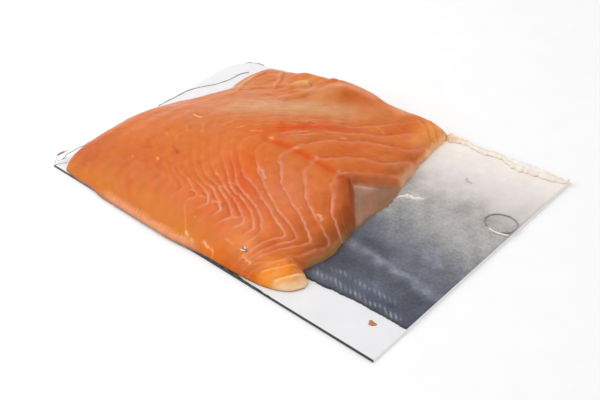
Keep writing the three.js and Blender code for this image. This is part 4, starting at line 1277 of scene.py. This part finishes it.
def fold_tree():
    """A Geometry Nodes tree that draws a thread of uneven course along each path."""
    tree = bpy.data.node_groups.new("thread_along_fold", "GeometryNodeTree")
    face = tree.interface
    face.new_socket("Geometry", in_out="INPUT", socket_type="NodeSocketGeometry")
    for name in ("Thread Radius", "Wobble"):
        face.new_socket(name, in_out="INPUT", socket_type="NodeSocketFloat")
    face.new_socket("Finish", in_out="INPUT", socket_type="NodeSocketMaterial")
    face.new_socket("Geometry", in_out="OUTPUT", socket_type="NodeSocketGeometry")
    given = add_node(tree, "NodeGroupInput")
    path = add_node(tree, "GeometryNodeMeshToCurve", {0: given.outputs["Geometry"]})
    stepped = add_node(tree, "GeometryNodeResampleCurve", {
        "Curve": path, "Length": THREAD_STEP * MM}, mode="LENGTH")
    noise = add_node(tree, "ShaderNodeTexNoise", {"Scale": 220.0, "Detail": 1.0})
    centred = add_node(tree, "ShaderNodeVectorMath", {
        0: noise.outputs["Color"], 1: (0.5, 0.5, 0.5)}, operation="SUBTRACT")
    scaled = add_node(tree, "ShaderNodeVectorMath", {
        0: centred, "Scale": given.outputs["Wobble"]}, operation="SCALE")
    moved = add_node(tree, "GeometryNodeSetPosition", {0: stepped, "Offset": scaled})
    section = add_node(tree, "GeometryNodeCurvePrimitiveCircle", {
        "Resolution": THREAD_SIDES, "Radius": given.outputs["Thread Radius"]})
    thread = add_node(tree, "GeometryNodeCurveToMesh", {
        "Curve": moved, "Profile Curve": section, "Fill Caps": True})
    real = add_node(tree, "GeometryNodeRealizeInstances", {0: thread})
    finished = add_node(tree, "GeometryNodeSetMaterial", {0: real, "Material": given.outputs["Finish"]})
    smooth = add_node(tree, "GeometryNodeSetShadeSmooth", {0: finished})
    add_node(tree, "NodeGroupOutput", {0: smooth})
    return tree


def draw_folds(name, paths, radius, wobble, finish):
    """Threads along paths of (x, y, height over the board), as one plain mesh piece."""
    points, edges = [], []
    for path in paths:
        first = len(points)
        points += [(x, y, BOARD_TOP + height) for x, y, height in path]
        edges += [(i, i + 1) for i in range(first, len(points) - 1)]
    mesh = bpy.data.meshes.new(name + "_paths")
    mesh.from_pydata(to_frame(points).tolist(), edges, [])
    carrier = bpy.data.objects.new(name + "_paths", mesh)
    bpy.context.scene.collection.objects.link(carrier)
    modifier = carrier.modifiers.new("thread", "NODES")
    modifier.node_group = threads
    values = {"Thread Radius": radius * MM, "Wobble": wobble * MM, "Finish": finish}
    for socket in threads.interface.items_tree:
        if socket.in_out == "INPUT" and socket.name in values:
            modifier[socket.identifier] = values[socket.name]
    made = bpy.data.meshes.new_from_object(carrier.evaluated_get(bpy.context.evaluated_depsgraph_get()))
    bpy.data.objects.remove(carrier)
    made.name = name
    piece = bpy.data.objects.new(name, made)
    bpy.context.scene.collection.objects.link(piece)
    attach(piece, "root")


def ring(centre_x, centre_y, reach_x, reach_y, first, last, height, steps):
    """Part of an ellipse, from one angle in degrees to another."""
    angles = np.radians(np.linspace(first, last, steps))
    return [(centre_x + reach_x * math.cos(a), centre_y + reach_y * math.sin(a), height) for a in angles]


threads = fold_tree()

# Doubled film: the grey of a fold is painted shade, and where the lamp strikes a fold it is painted nearly
# white as a glint. A little pinkish brown juice is drawn into the folds of the corner; its finish also paints
# the shade beside the bubble's glint.
painted_fold_shade = specked_finish("grey_fold_of_film", "#625e5b", "#aca8a5", 260.0, 0.25)
painted_fold_glint = specked_finish("bright_fold_of_film", "#e4d8ce", "#ffffff", 260.0, 0.15)
juice = specked_finish("fish_juice_and_painted_shade", "#a8806c", "#dcc8bc", 400.0, 0.2)

# Along the left side, drawn grey as painted shade: the line where the film meets the board, the edge of the
# slack film in front of it and the sealed edge at the rounded corner.
contact = [(float(seal_line(y)), y, 0.2) for y in range(95, 172, 3)]
tent_edge = [(2.2, 31.3, 3.2), (1.8, 26.3, 3.1), (1.4, 21.3, 3.0), (1.1, 16.4, 3.0), (1.6, 10.8, 3.0),
             (3.3, 6.1, 2.6)]
sealed_edge = [(8.5, 179.2, 0.1), (11.5, 181.5, 0.1), (15.0, 183.3, 0.1), (19.5, 184.5, 0.1),
               (25.0, 184.8, 0.3)]
draw_folds("film_contact_fold", [contact, tent_edge, sealed_edge], 0.28, 1.1, painted_fold_shade)

# The near left corner, its folds drawn grey as painted shade, with the juice in its fold.
corner_folds = [
    [(0.6, 0.8, 0.3), (0.7, 2.4, 3.0), (1.0, 4.6, 6.2), (0.9, 8.0, 6.4), (1.4, 11.0, 6.3), (2.2, 14.9, 5.6)],
    [(1.0, 0.9, 0.2), (3.0, 3.0, 0.8), (5.5, 5.5, 0.8), (7.0, 8.0, 0.6)],
    [(0.8, 3.0, 2.0), (3.0, 6.0, 2.4), (4.0, 10.0, 2.6)],
]
draw_folds("film_corner_folds", corner_folds, 0.16, 0.7, painted_fold_shade)
drawn_in = [
    [(0.8, 4.4, 6.0), (0.9, 7.0, 6.6), (1.3, 10.4, 6.6)],
    [(1.0, 5.0, 5.6), (1.2, 8.0, 5.9), (1.6, 12.0, 6.0)],
]
draw_folds("film_corner_juice", drawn_in, 0.42, 1.0, juice)

# The air bubble on the bare skin, cut off by the board's edge: its rim drawn grey as painted shade, a painted
# glint on its front and painted shade beside the glint.
around = ring(290.0, 126.2, 10.2, 7.9, -62, 238, SKIN_TOP, 40)
bubble = [(min(x, BOARD_LENGTH - 0.4), y, z) for x, y, z in around]
draw_folds("film_bubble_rim", [bubble], 0.33, 0.5, painted_fold_shade)
glint = [(x, y, SKIN_TOP) for x, y in ((287.4, 118.3), (290.5, 117.6), (294.0, 117.8), (299.4, 119.2))]
draw_folds("film_bubble_glint", [glint], 0.5, 0.4, painted_fold_glint)
# Painted shade beside the glint, drawn with the juice finish.
draw_folds("film_bubble_shade", [[(x + 0.6, y - 0.8, z - 0.2) for x, y, z in glint]], 0.22, 0.5, juice)

# A small crumple of the film over the front of the side: a grey rim of painted shade and white arcs of
# painted glint where it sparkles under the lamp.
sparkle_x, sparkle_y = SPARKLE
sparkle_top = float(flesh_height(*np.array(SPARKLE))) + 0.35
specks = [ring(sparkle_x - 0.9, sparkle_y + 0.4, 1.1, 0.9, 20, 330, sparkle_top, 10),
          ring(sparkle_x + 1.5, sparkle_y - 0.2, 0.9, 1.1, -60, 200, sparkle_top, 10)]
draw_folds("film_sparkle_rim", specks, 0.30, 0.7, painted_fold_shade)
front_arc = [(sparkle_x + i, sparkle_y - 1.2 + i / 3, sparkle_top) for i in (-1.1, -0.3, 0.6, 1.3)]
back_arc = [(sparkle_x + i, sparkle_y + 1.0 - i / 2, sparkle_top + 0.1) for i in (-0.9, -0.1, 0.8)]
draw_folds("film_sparkle", [front_arc, back_arc], 0.35, 0.9, painted_fold_glint)
